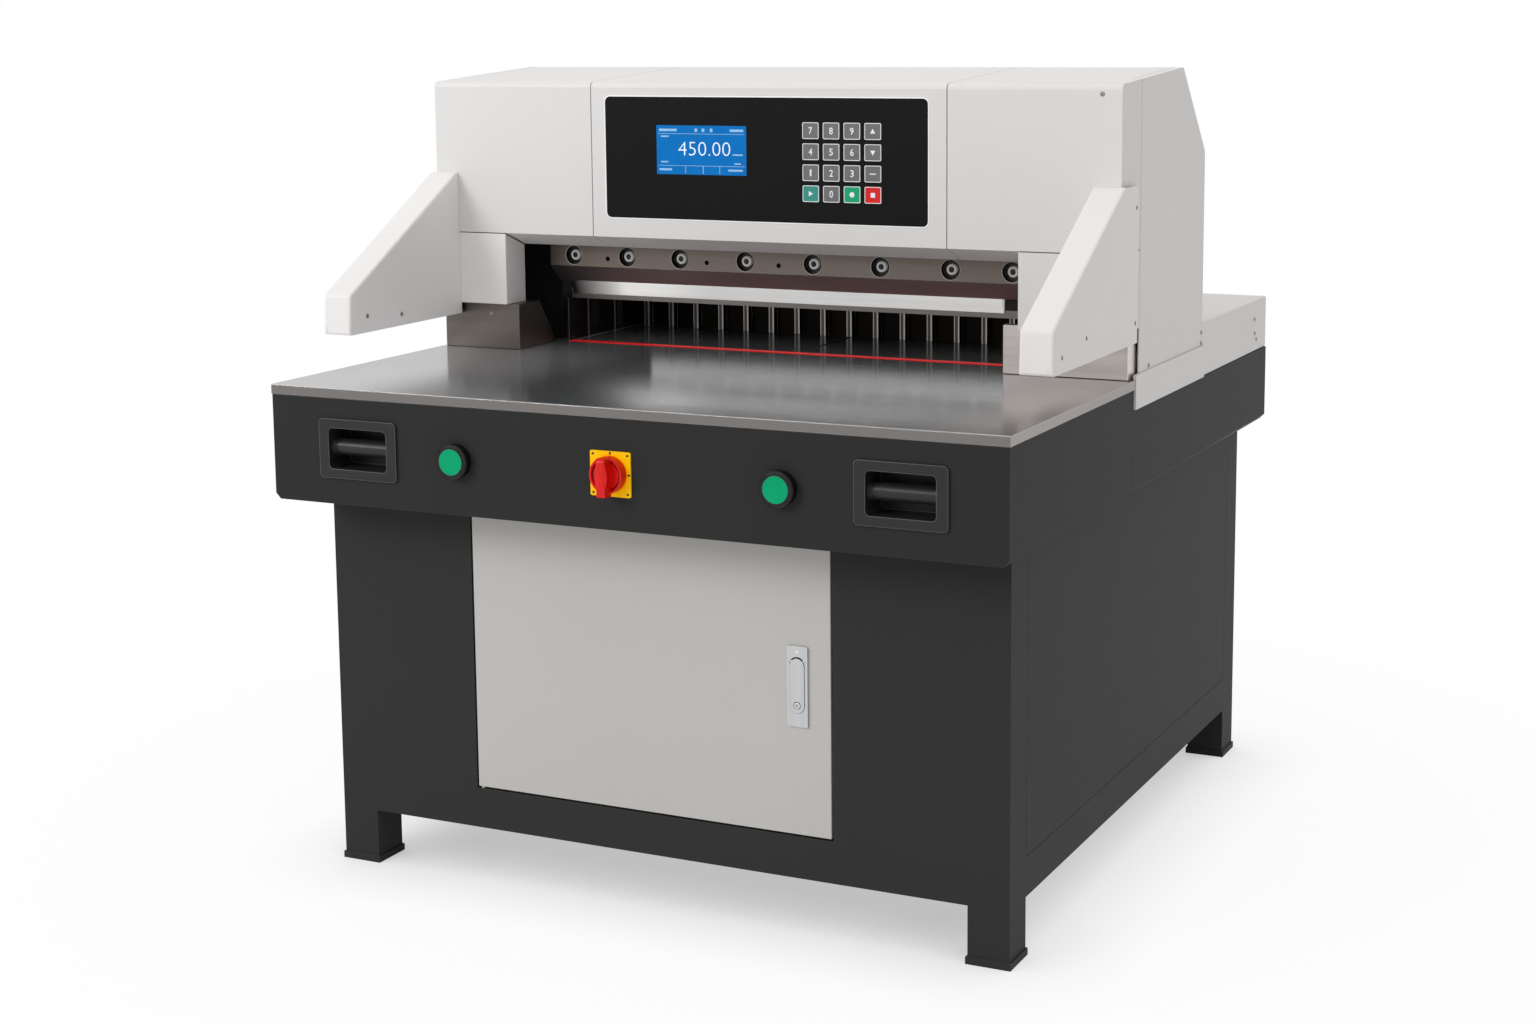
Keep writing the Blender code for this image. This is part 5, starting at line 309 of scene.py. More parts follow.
def brushed(name, colour, roughness, along, grain=0.25, tone=0.10, edge=0.25, zones=(), dots=(), rim=1.0,
            backlight_and_painted_glow=0.0, metal=1.0):
    """Ground metal: fine scratches along one axis, patches of polish, bright edges that are partly wear and
    partly a painted highlight, and zones.

    A zone has an axis, its low and high limits, the width of its soft border, and its own colour (the metal's
    own tone, painted reflection, or painted shade, zone by zone); a later zone covers an earlier one. The rim
    is how much light is mirrored at a flat angle."""
    finish = Finish(name, colour, roughness, metal)
    finish.set("Specular Tint", (rim, rim, rim, 1))
    mask = finish.soft_edges(METAL_EDGE_RADIUS)
    fine = tuple(25 if axis == along else 1500 for axis in "xyz")
    coarse = tuple(3 if axis == along else 90 for axis in "xyz")
    scratches = finish.noise(1, 3, fine)
    bands = finish.noise(1, 3, coarse)
    patches = finish.noise(5, 3)
    mixed = finish.math("ADD", finish.math("MULTIPLY", bands, 0.5), finish.math("MULTIPLY", patches, 0.5))
    dark = tuple(value * (1 - tone) for value in colour)
    light = tuple(min(1.0, value * (1 + tone)) for value in colour)
    body = finish.blend(finish.span(mixed, 0.35, 0.65), dark, light)
    for axis, low, high, border, own in zones:
        place = finish.axis(axis)
        inside = finish.math(
            "MULTIPLY",
            finish.span(place, low - border / 2, low + border / 2),
            finish.span(place, high - border / 2, high + border / 2, 1.0, 0.0),
        )
        body = finish.blend(inside, body, own)
    if dots:
        # Dark dots over small holes: painted shade
        body = finish.blend(finish.dots(dots), body, METAL_HOLE_SHADE)
    # Bright edges: partly wear, partly a painted highlight
    worn_and_highlit = finish.blend(edge, body, (0.95, 0.95, 0.95))
    finish.drive("Base Color", finish.blend(mask, body, worn_and_highlit))
    # A glow, painted light: the metal shines though it is no lamp
    if backlight_and_painted_glow:
        finish.drive("Emission Color", body)
        finish.set("Emission Strength", backlight_and_painted_glow)
    finish.drive("Roughness", finish.span(mixed, 0.3, 0.7, roughness - 0.03, roughness + 0.04))
    finish.bump(scratches, grain, 0.0002)
    return finish.material


def moulded(name, colour, roughness, grain=0.15, specular=0.5, backlight_and_painted_glow=0.0, edge=0.02, edge_radius=0.0010):
    """Moulded plastic: fine sandy grain, faint drifts of gloss, softened edges with a painted highlight along
    them, and a glow that is a backlight on the display and painted light elsewhere.
    """
    finish = Finish(name, colour, roughness, 0, specular)
    mask = finish.soft_edges(edge_radius)
    # Paler edges: a painted highlight
    edge_colour = tuple(min(1.0, value * 1.1 + edge) for value in colour)
    slow = finish.noise(30, 3)
    darker = tuple(value * 0.93 for value in colour)
    tone = finish.blend(finish.span(slow, 0.35, 0.65), darker, colour)
    tone = finish.blend(mask, tone, edge_colour)
    finish.drive("Base Color", tone)
    finish.drive("Roughness", finish.span(finish.noise(60, 2), 0.3, 0.7, roughness - 0.05, roughness + 0.05))
    finish.bump(finish.noise(2500, 2), grain, 0.0002)
    # A glow: the backlight of the display and its figures and lines, and painted light on the other plastics
    # and marks
    if backlight_and_painted_glow:
        finish.drive("Emission Color", tone)
        finish.set("Emission Strength", backlight_and_painted_glow)
    return finish.material


def circle(radius, count=24):
    """The outline of a circle in a surface."""
    steps = [2 * math.pi * step / count for step in range(count)]
    return [(radius * math.cos(angle), radius * math.sin(angle)) for angle in steps]


def rounded(width, height, radius, x=0.0, y=0.0, steps=3):
    """The outline of a rectangle with round corners."""
    points = []
    for corner, (side, up) in enumerate(((1, 1), (-1, 1), (-1, -1), (1, -1))):
        for step in range(steps + 1):
            angle = math.pi / 2 * (corner + step / steps)
            points.append((
                x + side * (width / 2 - radius) + radius * math.cos(angle),
                y + up * (height / 2 - radius) + radius * math.sin(angle),
            ))
    return points


def crossed(reach, width):
    """The outline of a crosshead recess."""
    half = width / 2
    points = []
    for quarter in range(4):
        cosine, sine = ((1, 0), (0, 1), (-1, 0), (0, -1))[quarter]
        for x, y in ((half, -half), (reach, -half), (reach, half)):
            points.append((x * cosine - y * sine, x * sine + y * cosine))
    return points


def facing(place, out, up=TOP):
    """A frame on a surface: z points out of it, y up it, and x to the right of whoever faces it."""
    out = Vector(out).normalized()
    right = Vector(up).cross(out).normalized()
    turn = Matrix((right, out.cross(right), out)).transposed().to_4x4()
    return Matrix.Translation(place) @ turn


class Part:
    """Closed solids in one mesh. Each is drawn on a surface and then put in its place."""

    def __init__(self):
        self.mesh = bmesh.new()
        self.fresh = []

    def ring(self, outline, z):
        ring = [self.mesh.verts.new((x, y, z)) for x, y in outline]
        self.fresh += ring
        return ring

    def wall(self, low, high):
        count = len(low)
        for index in range(count):
            after = (index + 1) % count
            self.mesh.faces.new((low[index], low[after], high[after], high[index]))

    def cap(self, *rings):
        """Fills the first ring, less the others."""
        corners = [corner for ring in rings for corner in ring]
        for triangle in tessellate_polygon([[corner.co for corner in ring] for ring in rings]):
            self.mesh.faces.new([corners[index] for index in triangle])

    def stack(self, *levels):
        """A solid through outlines at rising heights."""
        rings = [self.ring(outline, z) for outline, z in levels]
        for low, high in zip(rings, rings[1:]):
            self.wall(low, high)
        self.cap(rings[0])
        self.cap(rings[-1])

    def hoop(self, *levels):
        """A closed band through outlines, the last of which joins the first."""
        rings = [self.ring(outline, z) for outline, z in levels]
        for low, high in zip(rings, rings[1:] + rings[:1]):
            self.wall(low, high)

    def head(self, levels, socket, depth):
        """A bolt's or screw's head, with a socket in its top."""
        rings = [self.ring(outline, z) for outline, z in levels]
        for low, high in zip(rings, rings[1:]):
            self.wall(low, high)
        self.cap(rings[0])
        top = levels[-1][1]
        mouth, floor = self.ring(socket, top), self.ring(socket, top - depth)
        self.cap(rings[-1], mouth)
        self.wall(mouth, floor)
        self.cap(floor)

    def put(self, matrix):
        bmesh.ops.transform(self.mesh, matrix=matrix, verts=self.fresh)
        self.fresh = []

    def words(self, text, width, height, thickness, weight, matrix):
        """Figures that fill a width and height, centred, standing out of a surface."""
        curve = bpy.data.curves.new("figures", "FONT")
        curve.body = text
        curve.resolution_u = 3
        curve.offset = weight
        curve.extrude = thickness / 2
        holder = bpy.data.objects.new("figures", curve)
        bpy.context.scene.collection.objects.link(holder)
        bpy.context.view_layer.update()
        mesh = bpy.data.meshes.new_from_object(holder.evaluated_get(bpy.context.evaluated_depsgraph_get()))
        places = [corner.co for corner in mesh.vertices]
        low = [min(place[axis] for place in places) for axis in range(2)]
        high = [max(place[axis] for place in places) for axis in range(2)]
        middle = Vector(((low[0] + high[0]) / 2, (low[1] + high[1]) / 2, 0))
        size = Matrix.Diagonal((width / (high[0] - low[0]), height / (high[1] - low[1]), 1, 1))
        mesh.transform(matrix @ size @ Matrix.Translation(-middle))
        self.mesh.from_mesh(mesh)
        bpy.data.objects.remove(holder)
        bpy.data.curves.remove(curve)
        bpy.data.meshes.remove(mesh)

    def finish(self, name, material, body, slot):
        bmesh.ops.remove_doubles(self.mesh, verts=self.mesh.verts, dist=1e-7)
        bmesh.ops.recalc_face_normals(self.mesh, faces=self.mesh.faces)
        data = bpy.data.meshes.new(name)
        self.mesh.to_mesh(data)
        self.mesh.free()
        for face in data.polygons:
            face.use_smooth = True
        data.set_sharp_from_angle(angle=SHARP_ANGLE)
        data.materials.append(material)
        piece = bpy.data.objects.new(name, data)
        bpy.context.scene.collection.objects.link(piece)
        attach(piece, body)


def make_camera():
    data = bpy.data.cameras.new("camera")
    data.sensor_width = 36
    data.lens = CAMERA_LENS
    data.shift_y = CAMERA_SHIFT
    camera = bpy.data.objects.new("camera", data)
    turn = Matrix.Rotation(CAMERA_YAW, 4, "Z") @ Matrix.Rotation(math.pi / 2 - CAMERA_PITCH, 4, "X")
    camera.matrix_world = Matrix.Translation(CAMERA_PLACE) @ turn @ Matrix.Rotation(CAMERA_ROLL, 4, "Z")
    bpy.context.scene.collection.objects.link(camera)
    bpy.context.scene.camera = camera


def area_light(name, place, target, size, power):
    data = bpy.data.lights.new(name, "AREA")
    data.shape = "RECTANGLE"
    data.size, data.size_y = size
    data.energy = power
    light = bpy.data.objects.new(name, data)
    light.location = place
    light.rotation_euler = (Vector(target) - Vector(place)).to_track_quat("-Z", "Y").to_euler()
    bpy.context.scene.collection.objects.link(light)


def make_world():
    """A white studio: full white to the camera and in reflections, softer as a light."""
    world = bpy.data.worlds.new("studio")
    bpy.context.scene.world = world
    world.use_nodes = True
    tree = world.node_tree
    background = tree.nodes["Background"]
    background.inputs["Color"].default_value = (1, 1, 1, 1)
    rays = tree.nodes.new("ShaderNodeLightPath")
    seen = rays.outputs["Is Camera Ray"]
    for ray in ("Is Glossy Ray", "Is Transmission Ray"):
        either = tree.nodes.new("ShaderNodeMath")
        either.operation = "MAXIMUM"
        tree.links.new(seen, either.inputs[0])
        tree.links.new(rays.outputs[ray], either.inputs[1])
        seen = either.outputs[0]
    strength = tree.nodes.new("ShaderNodeMapRange")
    strength.inputs["To Min"].default_value = SKY_STRENGTH
    strength.inputs["To Max"].default_value = 1.0
    tree.links.new(seen, strength.inputs["Value"])
    tree.links.new(strength.outputs["Result"], background.inputs["Strength"])


def make_floor():
    """A white floor with a soft shadow under and close around the machine: a real shadow in its lit share,
    and a painted shadow where ambient occlusion darkens its white glow.
    """
    bpy.ops.mesh.primitive_plane_add(size=FLOOR_SIZE)
    floor = bpy.context.object
    floor.name = "studio_floor"
    material = bpy.data.materials.new("studio_floor")
    material.use_nodes = True
    tree = material.node_tree
    shader = tree.nodes["Principled BSDF"]
    shader.inputs["Base Color"].default_value = FLOOR_COLOUR
    shader.inputs["Roughness"].default_value = 0.6
    shader.inputs["Specular IOR Level"].default_value = 0.2
    # Painted shadow: ambient occlusion darkens the white glow near the machine
    painted_shadow = tree.nodes.new("ShaderNodeAmbientOcclusion")
    painted_shadow.samples = 16
    painted_shadow.inputs["Distance"].default_value = FLOOR_SHADE_REACH
    deepen = tree.nodes.new("ShaderNodeMath")
    deepen.operation = "POWER"
    deepen.inputs[1].default_value = FLOOR_SHADE_POWER
    tree.links.new(painted_shadow.outputs["AO"], deepen.inputs[0])
    white = tree.nodes.new("ShaderNodeEmission")
    tree.links.new(deepen.outputs[0], white.inputs["Color"])
    place = tree.nodes.new("ShaderNodeTexCoord")
    length = tree.nodes.new("ShaderNodeVectorMath")
    length.operation = "LENGTH"
    tree.links.new(place.outputs["Object"], length.inputs[0])
    fade = tree.nodes.new("ShaderNodeMapRange")
    fade.interpolation_type = "SMOOTHSTEP"
    fade.inputs["From Min"].default_value, fade.inputs["From Max"].default_value = FLOOR_FADE
    fade.inputs["To Min"].default_value = FLOOR_WHITE_SHARE
    tree.links.new(length.outputs["Value"], fade.inputs["Value"])
    rays = tree.nodes.new("ShaderNodeLightPath")
    seen = tree.nodes.new("ShaderNodeMath")
    seen.operation = "MAXIMUM"
    tree.links.new(rays.outputs["Is Camera Ray"], seen.inputs[0])
    tree.links.new(rays.outputs["Is Glossy Ray"], seen.inputs[1])
    share = tree.nodes.new("ShaderNodeMath")
    share.operation = "MULTIPLY"
    tree.links.new(fade.outputs["Result"], share.inputs[0])
    tree.links.new(seen.outputs[0], share.inputs[1])
    mix = tree.nodes.new("ShaderNodeMixShader")
    tree.links.new(share.outputs[0], mix.inputs["Fac"])
    tree.links.new(shader.outputs["BSDF"], mix.inputs[1])
    tree.links.new(white.outputs["Emission"], mix.inputs[2])
    tree.links.new(mix.outputs[0], tree.nodes["Material Output"].inputs["Surface"])
    floor.data.materials.append(material)


def make_lights():
    area_light("key_light", KEY_PLACE, KEY_TARGET, KEY_SIZE, KEY_POWER)
    area_light("top_light", TOP_PLACE, TOP_TARGET, TOP_SIZE, TOP_POWER)


def dress(material, *names):
    """Gives CAD nodes a finish in all their slots."""
    for name in names:
        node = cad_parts[name]
        if not node.data.materials:
            node.data.materials.append(material)
        for index in range(len(node.data.materials)):
            node.data.materials[index] = material


def dress_painted():
    white = painted("white_paint", (0.80, 0.783, 0.768), 0.42, 0.3, drift=0.02)
    dress(white, "head_cover_left", "head_cover_center", "head_cover_right", "head_rear_cover",
          "rear_table_cover", "column_cover_right")
    # The left column cover's and the guard arms' paints are lighter copies of the white paint: painted light
    column = painted("column_paint_lit_copy", (0.90, 0.88, 0.865), 0.42, 0.3, drift=0.02)
    dress(column, "column_cover_left")
    arm_dots = [(side * ARM_OUTER_X, y, z) for side in (-1, 1) for y, z in ARM_HOLES]
    lit_arm_paint = painted("arm_paint_lit_copy", (0.88, 0.862, 0.848), 0.42, 0.3, drift=0.02, dots=arm_dots)
    dress(lit_arm_paint, "guard_arm_left", "guard_arm_right")
    charcoal = painted("charcoal_paint", (0.037, 0.037, 0.038), 0.5, 0.06, 0.12, 0.06, 0.02)
    dress(charcoal, "cabinet_frame", "side_panel_left", "side_panel_right")
    apron = painted("apron_paint", (0.031, 0.031, 0.032), 0.5, 0.06, 0.12, 0.08, 0.02)
    dress(apron, "front_apron", "rear_skirt")
    dress(painted("door_paint", (0.57, 0.553, 0.53), 0.45, 0.2, drift=0.02), "cabinet_door")
    cast = painted("cast_paint", (0.020, 0.020, 0.021), 0.6, 0.2, 0.3)
    dress(cast, "portal_frame", "knife_cylinder", "clamp_cylinder", "oil_tank")
    dress(painted("motor_paint", (0.06, 0.12, 0.22), 0.5, 0.3, 0.2), "pump_motor")


def gauge_zones(colour):
    """The gauge's tone: bright tooth fronts with a dark groove in each, and black between the teeth."""
    zones = [
        ("y", GAUGE_FRONT_Y, GAUGE_TOOTH_Y, 0.0006, (0.62, 0.58, 0.55)),
        ("y", GAUGE_TOOTH_Y, GAUGE_BEAM_Y, 0.0006, (0.008, 0.007, 0.006)),
    ]
    low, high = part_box("back_gauge")
    first_tooth = low.x + GAUGE_TOOTH_ROOM[0]
    pitch = (high.x - GAUGE_TOOTH_ROOM[1] - first_tooth) / (GAUGE_TEETH - 1)
    for tooth in range(GAUGE_TEETH):
        x = first_tooth + tooth * pitch
        zones.append(("x", x + GAUGE_TOOTH_GROOVE[0], x + GAUGE_TOOTH_GROOVE[1], 0.0008, colour))
    return zones


def dress_metals():
    # The first three zones are painted reflection: a bright left part, a darker middle and a paler far right;
    # the last two darken what stands above the top and the front edge
    table_zones = (
        ("x", -1.2, -0.40, 0.30, (0.78, 0.78, 0.79)),
        ("x", 0.25, 0.58, 0.25, (0.26, 0.26, 0.26)),
        ("x", 0.58, 1.2, 0.10, (0.42, 0.39, 0.375)),
        ("z", TABLE_Z + 0.0003, 1.1, 0.0002, (0.035, 0.030, 0.026)),
        ("y", FRONT_Y - 0.05, FRONT_Y - 0.0004, 0.0004, (0.20, 0.188, 0.18)),
    )
    table = brushed("table_steel", (0.22, 0.226, 0.234), 0.14, "x", 0.03, 0.05, 0.7, table_zones,
                    TABLE_HOLES, 0.50, metal=0.65)
    dress(table, "table_plate")
    dress(brushed("ground_steel", (0.42, 0.40, 0.38), 0.32, "x"), "lead_screw", "latch_cam")
    carrier_zones = (
        # The first zone darkens the lower face and all behind it, which is painted shade in the bolt pockets
        ("y", CARRIER_LOW_FACE_Y, 0.0, 0.001, (0.038, 0.036, 0.032)),
        ("z", 1.0, CARRIER_BAND_Z, 0.001, (0.33, 0.31, 0.30)),
    )
    carrier = brushed("carrier_metal", (0.155, 0.130, 0.115), 0.42, "x", 0.1, 0.10, 0.30, carrier_zones)
    dress(carrier, "knife_carrier")
    clamp_zones = (
        ("x", 0.4185, 0.5, 0.001, (0.02, 0.018, 0.016)),
        ("z", 0.9, 1.0, 0.0006, (0.16, 0.15, 0.145)),
    )
    clamp = brushed("clamp_metal", (0.42, 0.35, 0.31), 0.40, "x", 0.1, 0.10, 0.15, clamp_zones)
    dress(clamp, "clamp_beam")
    dress(brushed("sleeve_metal", (0.64, 0.59, 0.56), 0.30, "x", 0.12), "column_sleeve_right")
    dress(brushed("shaded_sleeve", (0.13, 0.115, 0.103), 0.34, "x", 0.12), "column_sleeve_left")
    # The blade's left end fades dark: painted shade; its glow is painted light
    blade_zones = (("x", -0.60, -0.425, 0.11, (0.012, 0.011, 0.010)),)
    blade = brushed("blade_steel", (0.90, 0.885, 0.87), 0.18, "x", 0.05, 0.06, 0.3, blade_zones, backlight_and_painted_glow=0.44)
    dress(blade, "blade")
    gauge_colour = (0.09, 0.08, 0.073)
    gauge = brushed("gauge_metal", gauge_colour, 0.40, "z", 0.1, 0.08, 0.6, gauge_zones(gauge_colour))
    dress(gauge, "back_gauge")
    latch = brushed("latch_metal", (0.55, 0.56, 0.57), 0.34, "z", 0.1, 0.04)
    dress(latch, "latch_housing", "latch_handle", "latch_plug")


def dress_plastics():
    """Gives the plastic nodes their finishes, and returns those that the small pieces share."""
    looks = {"black": moulded("black_plastic", (0.013, 0.013, 0.014), 0.36, specular=0.3, edge=0.12)}
    grip = moulded("grip_plastic", (0.018, 0.018, 0.019), 0.36, 0.15, 0.3, edge=0.22, edge_radius=0.0022)
    dress(grip, "handle_recess_left", "handle_recess_right")
    bezel = moulded("bezel_plastic", (0.007, 0.007, 0.008), 0.30, 0.10, 0.25, edge=0.10)
    dress(bezel, "cut_button_bezel_left", "cut_button_bezel_right")
    dress(looks["black"], "gauge_motor")
    dress(moulded("panel_black", (0.007, 0.007, 0.0075), 0.45, 0.08, 0.08), "control_panel")
    dress(moulded("green_plastic", (0.0, 0.40, 0.17), 0.42, 0.1, 0.1), "cut_button_left", "cut_button_right")
    looks["red"] = moulded("red_plastic", (0.80, 0.004, 0.002), 0.32, 0.08, 0.30)
    # A darker red for the switch's groove: painted shade
    looks["groove_shade_red"] = moulded("groove_shade_red", (0.14, 0.002, 0.001), 0.45, 0.08, 0.1)
    dress(looks["red"], "power_switch_knob")
    # The stick's glow is painted light
    dress(moulded("stick_plastic", (0.80, 0.008, 0.010), 0.40, 0.08, 0.1, 0.25), "cutting_stick")
    # The yellow plate's glow is painted light
    dress(moulded("yellow_plastic", (0.95, 0.53, 0.0), 0.45, 0.08, 0.1, 0.2), "switch_plate")
    dress(moulded("display_blue", (0.004, 0.130, 0.40), 0.35, 0.02, 0.04, 0.5), "display_window")
    grey = moulded("key_grey", (0.19, 0.19, 0.195), 0.45, 0.1, 0.2)
    teal = moulded("key_teal", (0.05, 0.33, 0.28), 0.45, 0.1, 0.2)
    green = moulded("key_green", (0.01, 0.42, 0.19), 0.45, 0.1, 0.2)
    red = moulded("key_red", (0.80, 0.02, 0.02), 0.45, 0.1, 0.2)
    for row in range(1, 5):
        for column in range(1, 5):
            last = {1: teal, 3: green, 4: red}.get(column, grey)
            dress(last if row == 4 else grey, f"key_r{row}c{column}")
    return looks


def dress_nodes():
    """Gives every CAD node its finish, and returns the finishes of the small pieces."""
    dress_painted()
    dress_metals()
    looks = dress_plastics()
    # The pale marks, the panel's edge strip, the bolts and the pockets' lips glow though they are no lamps:
    # painted light; the display's figures and lines glow with its backlight
    looks["pale"] = moulded("pale_marks", (0.92, 0.93, 0.94), 0.5, 0.02, 0.1, 0.1)
    looks["lit"] = moulded("lit_marks", (0.85, 0.92, 1.0), 0.5, 0.02, 0.1, 0.3)
    looks["dim"] = moulded("dim_marks", (0.30, 0.52, 0.78), 0.5, 0.02, 0.1, 0.25)
    # A bright strip for the panel cutout's edge: a painted highlight
    looks["lip"] = moulded("panel_lip", (0.95, 0.94, 0.93), 0.4, 0.02, 0.3, 0.2)
    looks["trim"] = brushed("bright_trim", (0.80, 0.79, 0.77), 0.30, "x", 0.05)
    looks["bolt"] = moulded("bolt_metal", (0.62, 0.60, 0.58), 0.35, 0.1, 0.5, 0.16)
    looks["lip_metal"] = moulded("lip_metal", (0.45, 0.41, 0.38), 0.45, 0.1, 0.5, 0.14)
    looks["screw"] = brushed("screw_metal", (0.24, 0.23, 0.22), 0.35, "x", 0.1)
    return looks


def add_bolts(looks):
    """The bolts in the carrier's pockets, black fills of painted shade in their sockets, the pockets' lips,
    and the covers' small screws.
    """
    head = [(circle(KNIFE_BOLT_RADIUS), 0), (circle(KNIFE_BOLT_RADIUS), 0.0072), (circle(0.0090), 0.0082)]
    bolts = Part()
    for share in KNIFE_BOLT_SHARES:
        bolts.head(head, circle(KNIFE_SOCKET_RADIUS, 12), 0.006)
        bolts.put(facing((share * KNIFE_BOLT_HALF_SPAN, POCKET_FLOOR_Y, KNIFE_BOLT_Z), FRONT))
    bolts.finish("carrier_bolts", looks["bolt"], "knife", "ground_steel")
    # Black fills in the bolts' sockets: painted shade
    sockets = Part()
    for share in KNIFE_BOLT_SHARES:
        sockets.stack((circle(0.0057), 0.0030), (circle(0.0057), 0.0076), (circle(0.0050), 0.0080))
        sockets.put(facing((share * KNIFE_BOLT_HALF_SPAN, POCKET_FLOOR_Y, KNIFE_BOLT_Z), FRONT))
    sockets.finish("carrier_bolt_socket_shade", looks["black"], "knife", "black_plastic")
    lips = Part()
    for share in KNIFE_BOLT_SHARES:
        lips.hoop((circle(0.0197), -0.0004), (circle(0.0195), 0.0004), (circle(0.0186), 0.0004),
                  (circle(0.0184), -0.0004))
        lips.put(facing((share * KNIFE_BOLT_HALF_SPAN, CARRIER_FACE_Y, KNIFE_BOLT_Z), FRONT))
    lips.finish("pocket_lips", looks["lip_metal"], "knife", "ground_steel")
    small = [(circle(0.0042, 16), -0.0004), (circle(0.0042, 16), 0.0006), (circle(0.0030, 16), 0.0016)]
    screws = Part()
    for place, out in COVER_SCREWS:
        screws.head(small, circle(0.0016, 6), 0.0010)
        screws.put(facing(place, out))
    screws.finish("cover_screws", looks["screw"], "machine", "ground_steel")


def add_switch(looks):
    """The main switch's rim, flared grip, a dark red ring of painted shade in its groove, its screw, and its
    plate's marks.
    """
    plate_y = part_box("switch_plate")[0].y
    disc_y = plate_y - SWITCH_DISC_GAP - SWITCH_DISC_THICKNESS
    front = facing((SWITCH_X, disc_y, CONTROL_Z), FRONT)
    knob = Part()
    knob.hoop((circle(0.0310, 40), -0.0060), (circle(0.0310, 40), 0.0020), (circle(0.0298, 40), 0.0030),
              (circle(0.0272, 40), 0.0030), (circle(0.0262, 40), 0.0002), (circle(0.0262, 40), -0.0060))
    flare = [(-0.0088, -0.0345), (0.0088, -0.0345), (0.0092, -0.020), (0.0125, -0.006), (0.0125, 0.006),
             (0.0092, 0.020), (0.0088, 0.0300), (-0.0088, 0.0300), (-0.0092, 0.020), (-0.0125, 0.006),
             (-0.0125, -0.006), (-0.0092, -0.020)]
    upper = [(x * 0.90, y * 0.98) for x, y in flare]
    knob.stack((flare, -0.0005), (flare, 0.0150), (upper, 0.0188))
    knob.put(front)
    knob.finish("switch_grip", looks["red"], "switch_knob", "red_plastic")
    # A dark red ring in the groove between rim and face: painted shade
    groove = Part()
    groove.hoop((circle(0.0262, 40), -0.0030), (circle(0.0262, 40), 0.0006), (circle(0.0240, 40), 0.0006),
                (circle(0.0240, 40), -0.0030))
    groove.put(front)
    groove.finish("switch_groove_shade", looks["groove_shade_red"], "switch_knob", "red_plastic")
    screw = Part()
    screw.head([(circle(0.0026, 16), -0.0004), (circle(0.0026, 16), 0.0008)], crossed(0.0018, 0.0007), 0.0005)
    screw.put(front @ Matrix.Translation((-0.0185, 0.001, 0)))
    screw.finish("switch_screw", looks["trim"], "switch_knob", "stainless")
    plate = facing((SWITCH_X, plate_y, CONTROL_Z), FRONT)
    notches = Part()
    for width, height, x, y in ((0.0030, 0.0050, 0, 0.0350), (0.0050, 0.0030, 0.0350, 0)):
        outline = rounded(width, height, 0.0006, x, y)
        notches.stack((outline, -0.0003), (outline, 0.0003))
        notches.put(plate)
    for x in (-0.0325, 0.0325):
        for y in (-0.0325, 0.0325):
            levels = [(circle(0.0022, 16), -0.0003), (circle(0.0020, 16), 0.0006)]
            notches.head(levels, circle(0.0010, 6), 0.0005)
            notches.put(plate @ Matrix.Translation((x, y, 0)))
    notches.finish("switch_plate_marks", looks["black"], "machine", "black_plastic")


def add_controls(looks):
    """Rings and collars on the cut buttons, rings on the grips, and the latch's lock and rivet."""
    for side in ("left", "right"):
        low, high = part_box("cut_button_" + side)
        ring = Part()
        rim = (high.x - low.x) / 2
        top = facing(((low.x + high.x) / 2, low.y + BUTTON_CROWN, (low.z + high.z) / 2), FRONT)
        ring.hoop((circle(rim - 0.0024, 40), -0.0030), (circle(rim - 0.0024, 40), 0.0014),
                  (circle(rim - 0.0034, 40), 0.0014), (circle(rim - 0.0036, 40), -0.0030))
        ring.put(top)
        ring.finish("cut_button_ring_" + side, looks["pale"], "cut_button_" + side, "green_plastic")
        collar = Part()
        collar.hoop((circle(rim, 40), -0.0030), (circle(rim, 40), 0.0008), (circle(rim - 0.0006, 40), 0.0014),
                    (circle(rim - 0.0022, 40), 0.0014), (circle(rim - 0.0023, 40), -0.0030))
        collar.put(top)
        collar.finish("cut_button_collar_" + side, looks["black"], "cut_button_" + side, "black_plastic")
        low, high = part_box("handle_recess_" + side)
        ends = Part()
        for end in (-GRIP_HALF_LENGTH, GRIP_HALF_LENGTH):
            ends.hoop((circle(0.0149), -0.0020), (circle(0.0168), -0.0020), (circle(0.0172), 0.0),
                      (circle(0.0168), 0.0020), (circle(0.0149), 0.0020))
            ends.put(facing(((low.x + high.x) / 2 + end, at(GRIP_BAR_SETBACK), (low.z + high.z) / 2), RIGHT))
        ends.finish("grip_rings_" + side, looks["black"], "machine", "black_plastic")
    low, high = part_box("latch_plug")
    lock = facing(((low.x + high.x) / 2, low.y, (low.z + high.z) / 2), FRONT)
    ring = Part()
    ring.hoop((circle(0.0054), -0.0005), (circle(0.0054), 0.0005), (circle(0.0044), 0.0007),
              (circle(0.0040), -0.0005))
    ring.put(lock)
    ring.finish("lock_ring", looks["trim"], "lock", "latch_metal")
    # A black slit for the keyhole: painted shade
    slit = Part()
    slit.stack((rounded(0.0012, 0.0052, 0.0005), -0.0004), (rounded(0.0012, 0.0052, 0.0005), 0.0002))
    slit.put(lock)
    slit.finish("lock_slit_shade", looks["black"], "lock", "black_plastic")
    low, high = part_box("latch_housing")
    rivet = Part()
    rivet.stack((circle(0.0024, 16), -0.0004), (circle(0.0022, 16), 0.0004), (circle(0.0012, 16), 0.0008))
    rivet.put(facing(((low.x + high.x) / 2, low.y, high.z - 0.010), FRONT))
    rivet.finish("latch_rivet", looks["trim"], "door", "latch_metal")


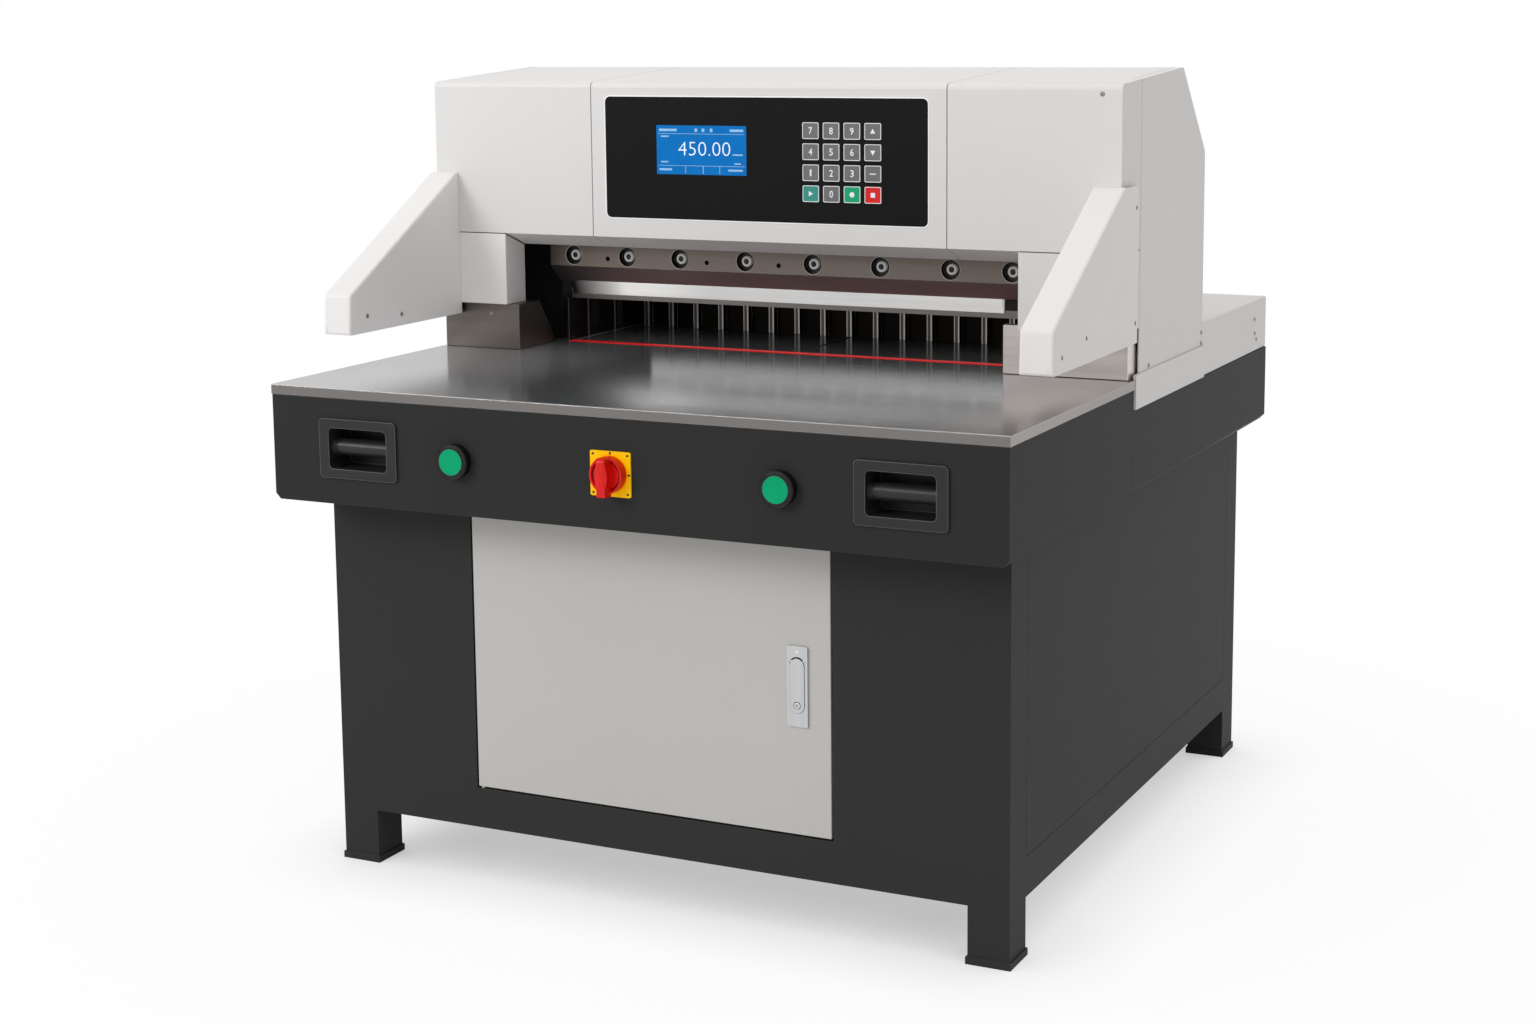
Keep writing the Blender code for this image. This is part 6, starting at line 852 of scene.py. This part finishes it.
def add_panel(looks):
    """The control panel's bright edge strip, a painted highlight, the display's lines and figures, and the
    keys' borders and marks.
    """
    # A bright strip round the panel's cutout: a painted highlight on the cover's edge
    trim = Part()
    inner, outer = [
        rounded(PANEL_WIDTH + 2 * gap, PANEL_HEIGHT + 2 * gap, 0.009 + gap, steps=5)
        for gap in (0.0009, 0.0027)
    ]
    trim.hoop((outer, -0.0003), (outer, 0.0007), (inner, 0.0007), (inner, -0.0003))
    trim.put(facing((PANEL_X, PANEL_FACE_Y, PANEL_Z), FRONT))
    trim.finish("panel_edge_highlight", looks["lip"], "machine", "stainless")

    low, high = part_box("display_window")
    width, height = high.x - low.x, high.z - low.z
    shown = facing((low.x, low.y, high.z), FRONT)
    marks = Part()
    for left, right, top, bottom in DISPLAY_BARS:
        centre = (width * (left + right) / 2, -height * (top + bottom) / 2)
        outline = rounded(width * (right - left), height * (bottom - top), 0.0001, *centre, steps=1)
        marks.stack((outline, -0.0001), (outline, 0.0002))
        marks.put(shown)
    marks.finish("display_lines", looks["dim"], "machine", "display")
    figures = Part()
    middle = Matrix.Translation((width * 0.535, -height * 0.47, 0.0001))
    figures.words("450.00", width * 0.58, height * 0.28, 0.0003, -0.016, shown @ middle)
    figures.finish("display_figures", looks["lit"], "machine", "display")

    for row in range(1, 5):
        for column in range(1, 5):
            key = f"key_r{row}c{column}"
            low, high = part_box(key)
            top = facing(((low.x + high.x) / 2, low.y, (low.z + high.z) / 2), FRONT)
            width, height = high.x - low.x, high.z - low.z
            mark = Part()
            outer = rounded(width - 0.0004, height - 0.0004, 0.0026)
            inner = rounded(width - 0.0030, height - 0.0030, 0.0018)
            mark.hoop((outer, -0.0002), (outer, 0.0002), (inner, 0.0002), (inner, -0.0002))
            mark.put(top)
            sign = KEY_SIGNS[row - 1][column - 1]
            if sign.isdigit():
                mark.words(sign, 0.0034 if sign == "1" else 0.0072, 0.0125, 0.0004, 0.012, top)
            else:
                mark.stack((SIGN_SHAPES[sign], -0.0002), (SIGN_SHAPES[sign], 0.0002))
                mark.put(top)
            mark.finish(key + "_mark", looks["pale"], key, "key_grey")


def add_pieces(looks):
    add_bolts(looks)
    add_switch(looks)
    add_controls(looks)
    add_panel(looks)
    stick_low, stick_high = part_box("cutting_stick")
    # A pale strip on the table just behind the stick: a painted highlight
    stick_highlight = Part()
    outline = rounded(stick_high.x - stick_low.x, 0.0016, 0.0003, steps=1)
    stick_highlight.stack((outline, -0.0002), (outline, 0.0003))
    middle = ((stick_low.x + stick_high.x) / 2, stick_high.y + 0.0013, TABLE_Z)
    stick_highlight.put(facing(middle, TOP, BACK))
    stick_highlight.finish("stick_edge_highlight", looks["pale"], "machine", "ground_steel")
    nut = Part()
    nut.hoop((circle(0.0165, 6), 0), (circle(0.0205, 6), 0), (circle(0.0205, 6), 0.0060),
             (circle(0.0190, 6), 0.0070), (circle(0.0165, 6), 0.0070))
    nut.put(facing(GLAND_PLACE, BACK))
    nut.finish("gland_nut", looks["black"], "machine", "black_plastic")


make_camera()
make_world()
make_floor()
make_lights()
add_pieces(dress_nodes())
bpy.context.scene.view_settings.view_transform = "Standard"
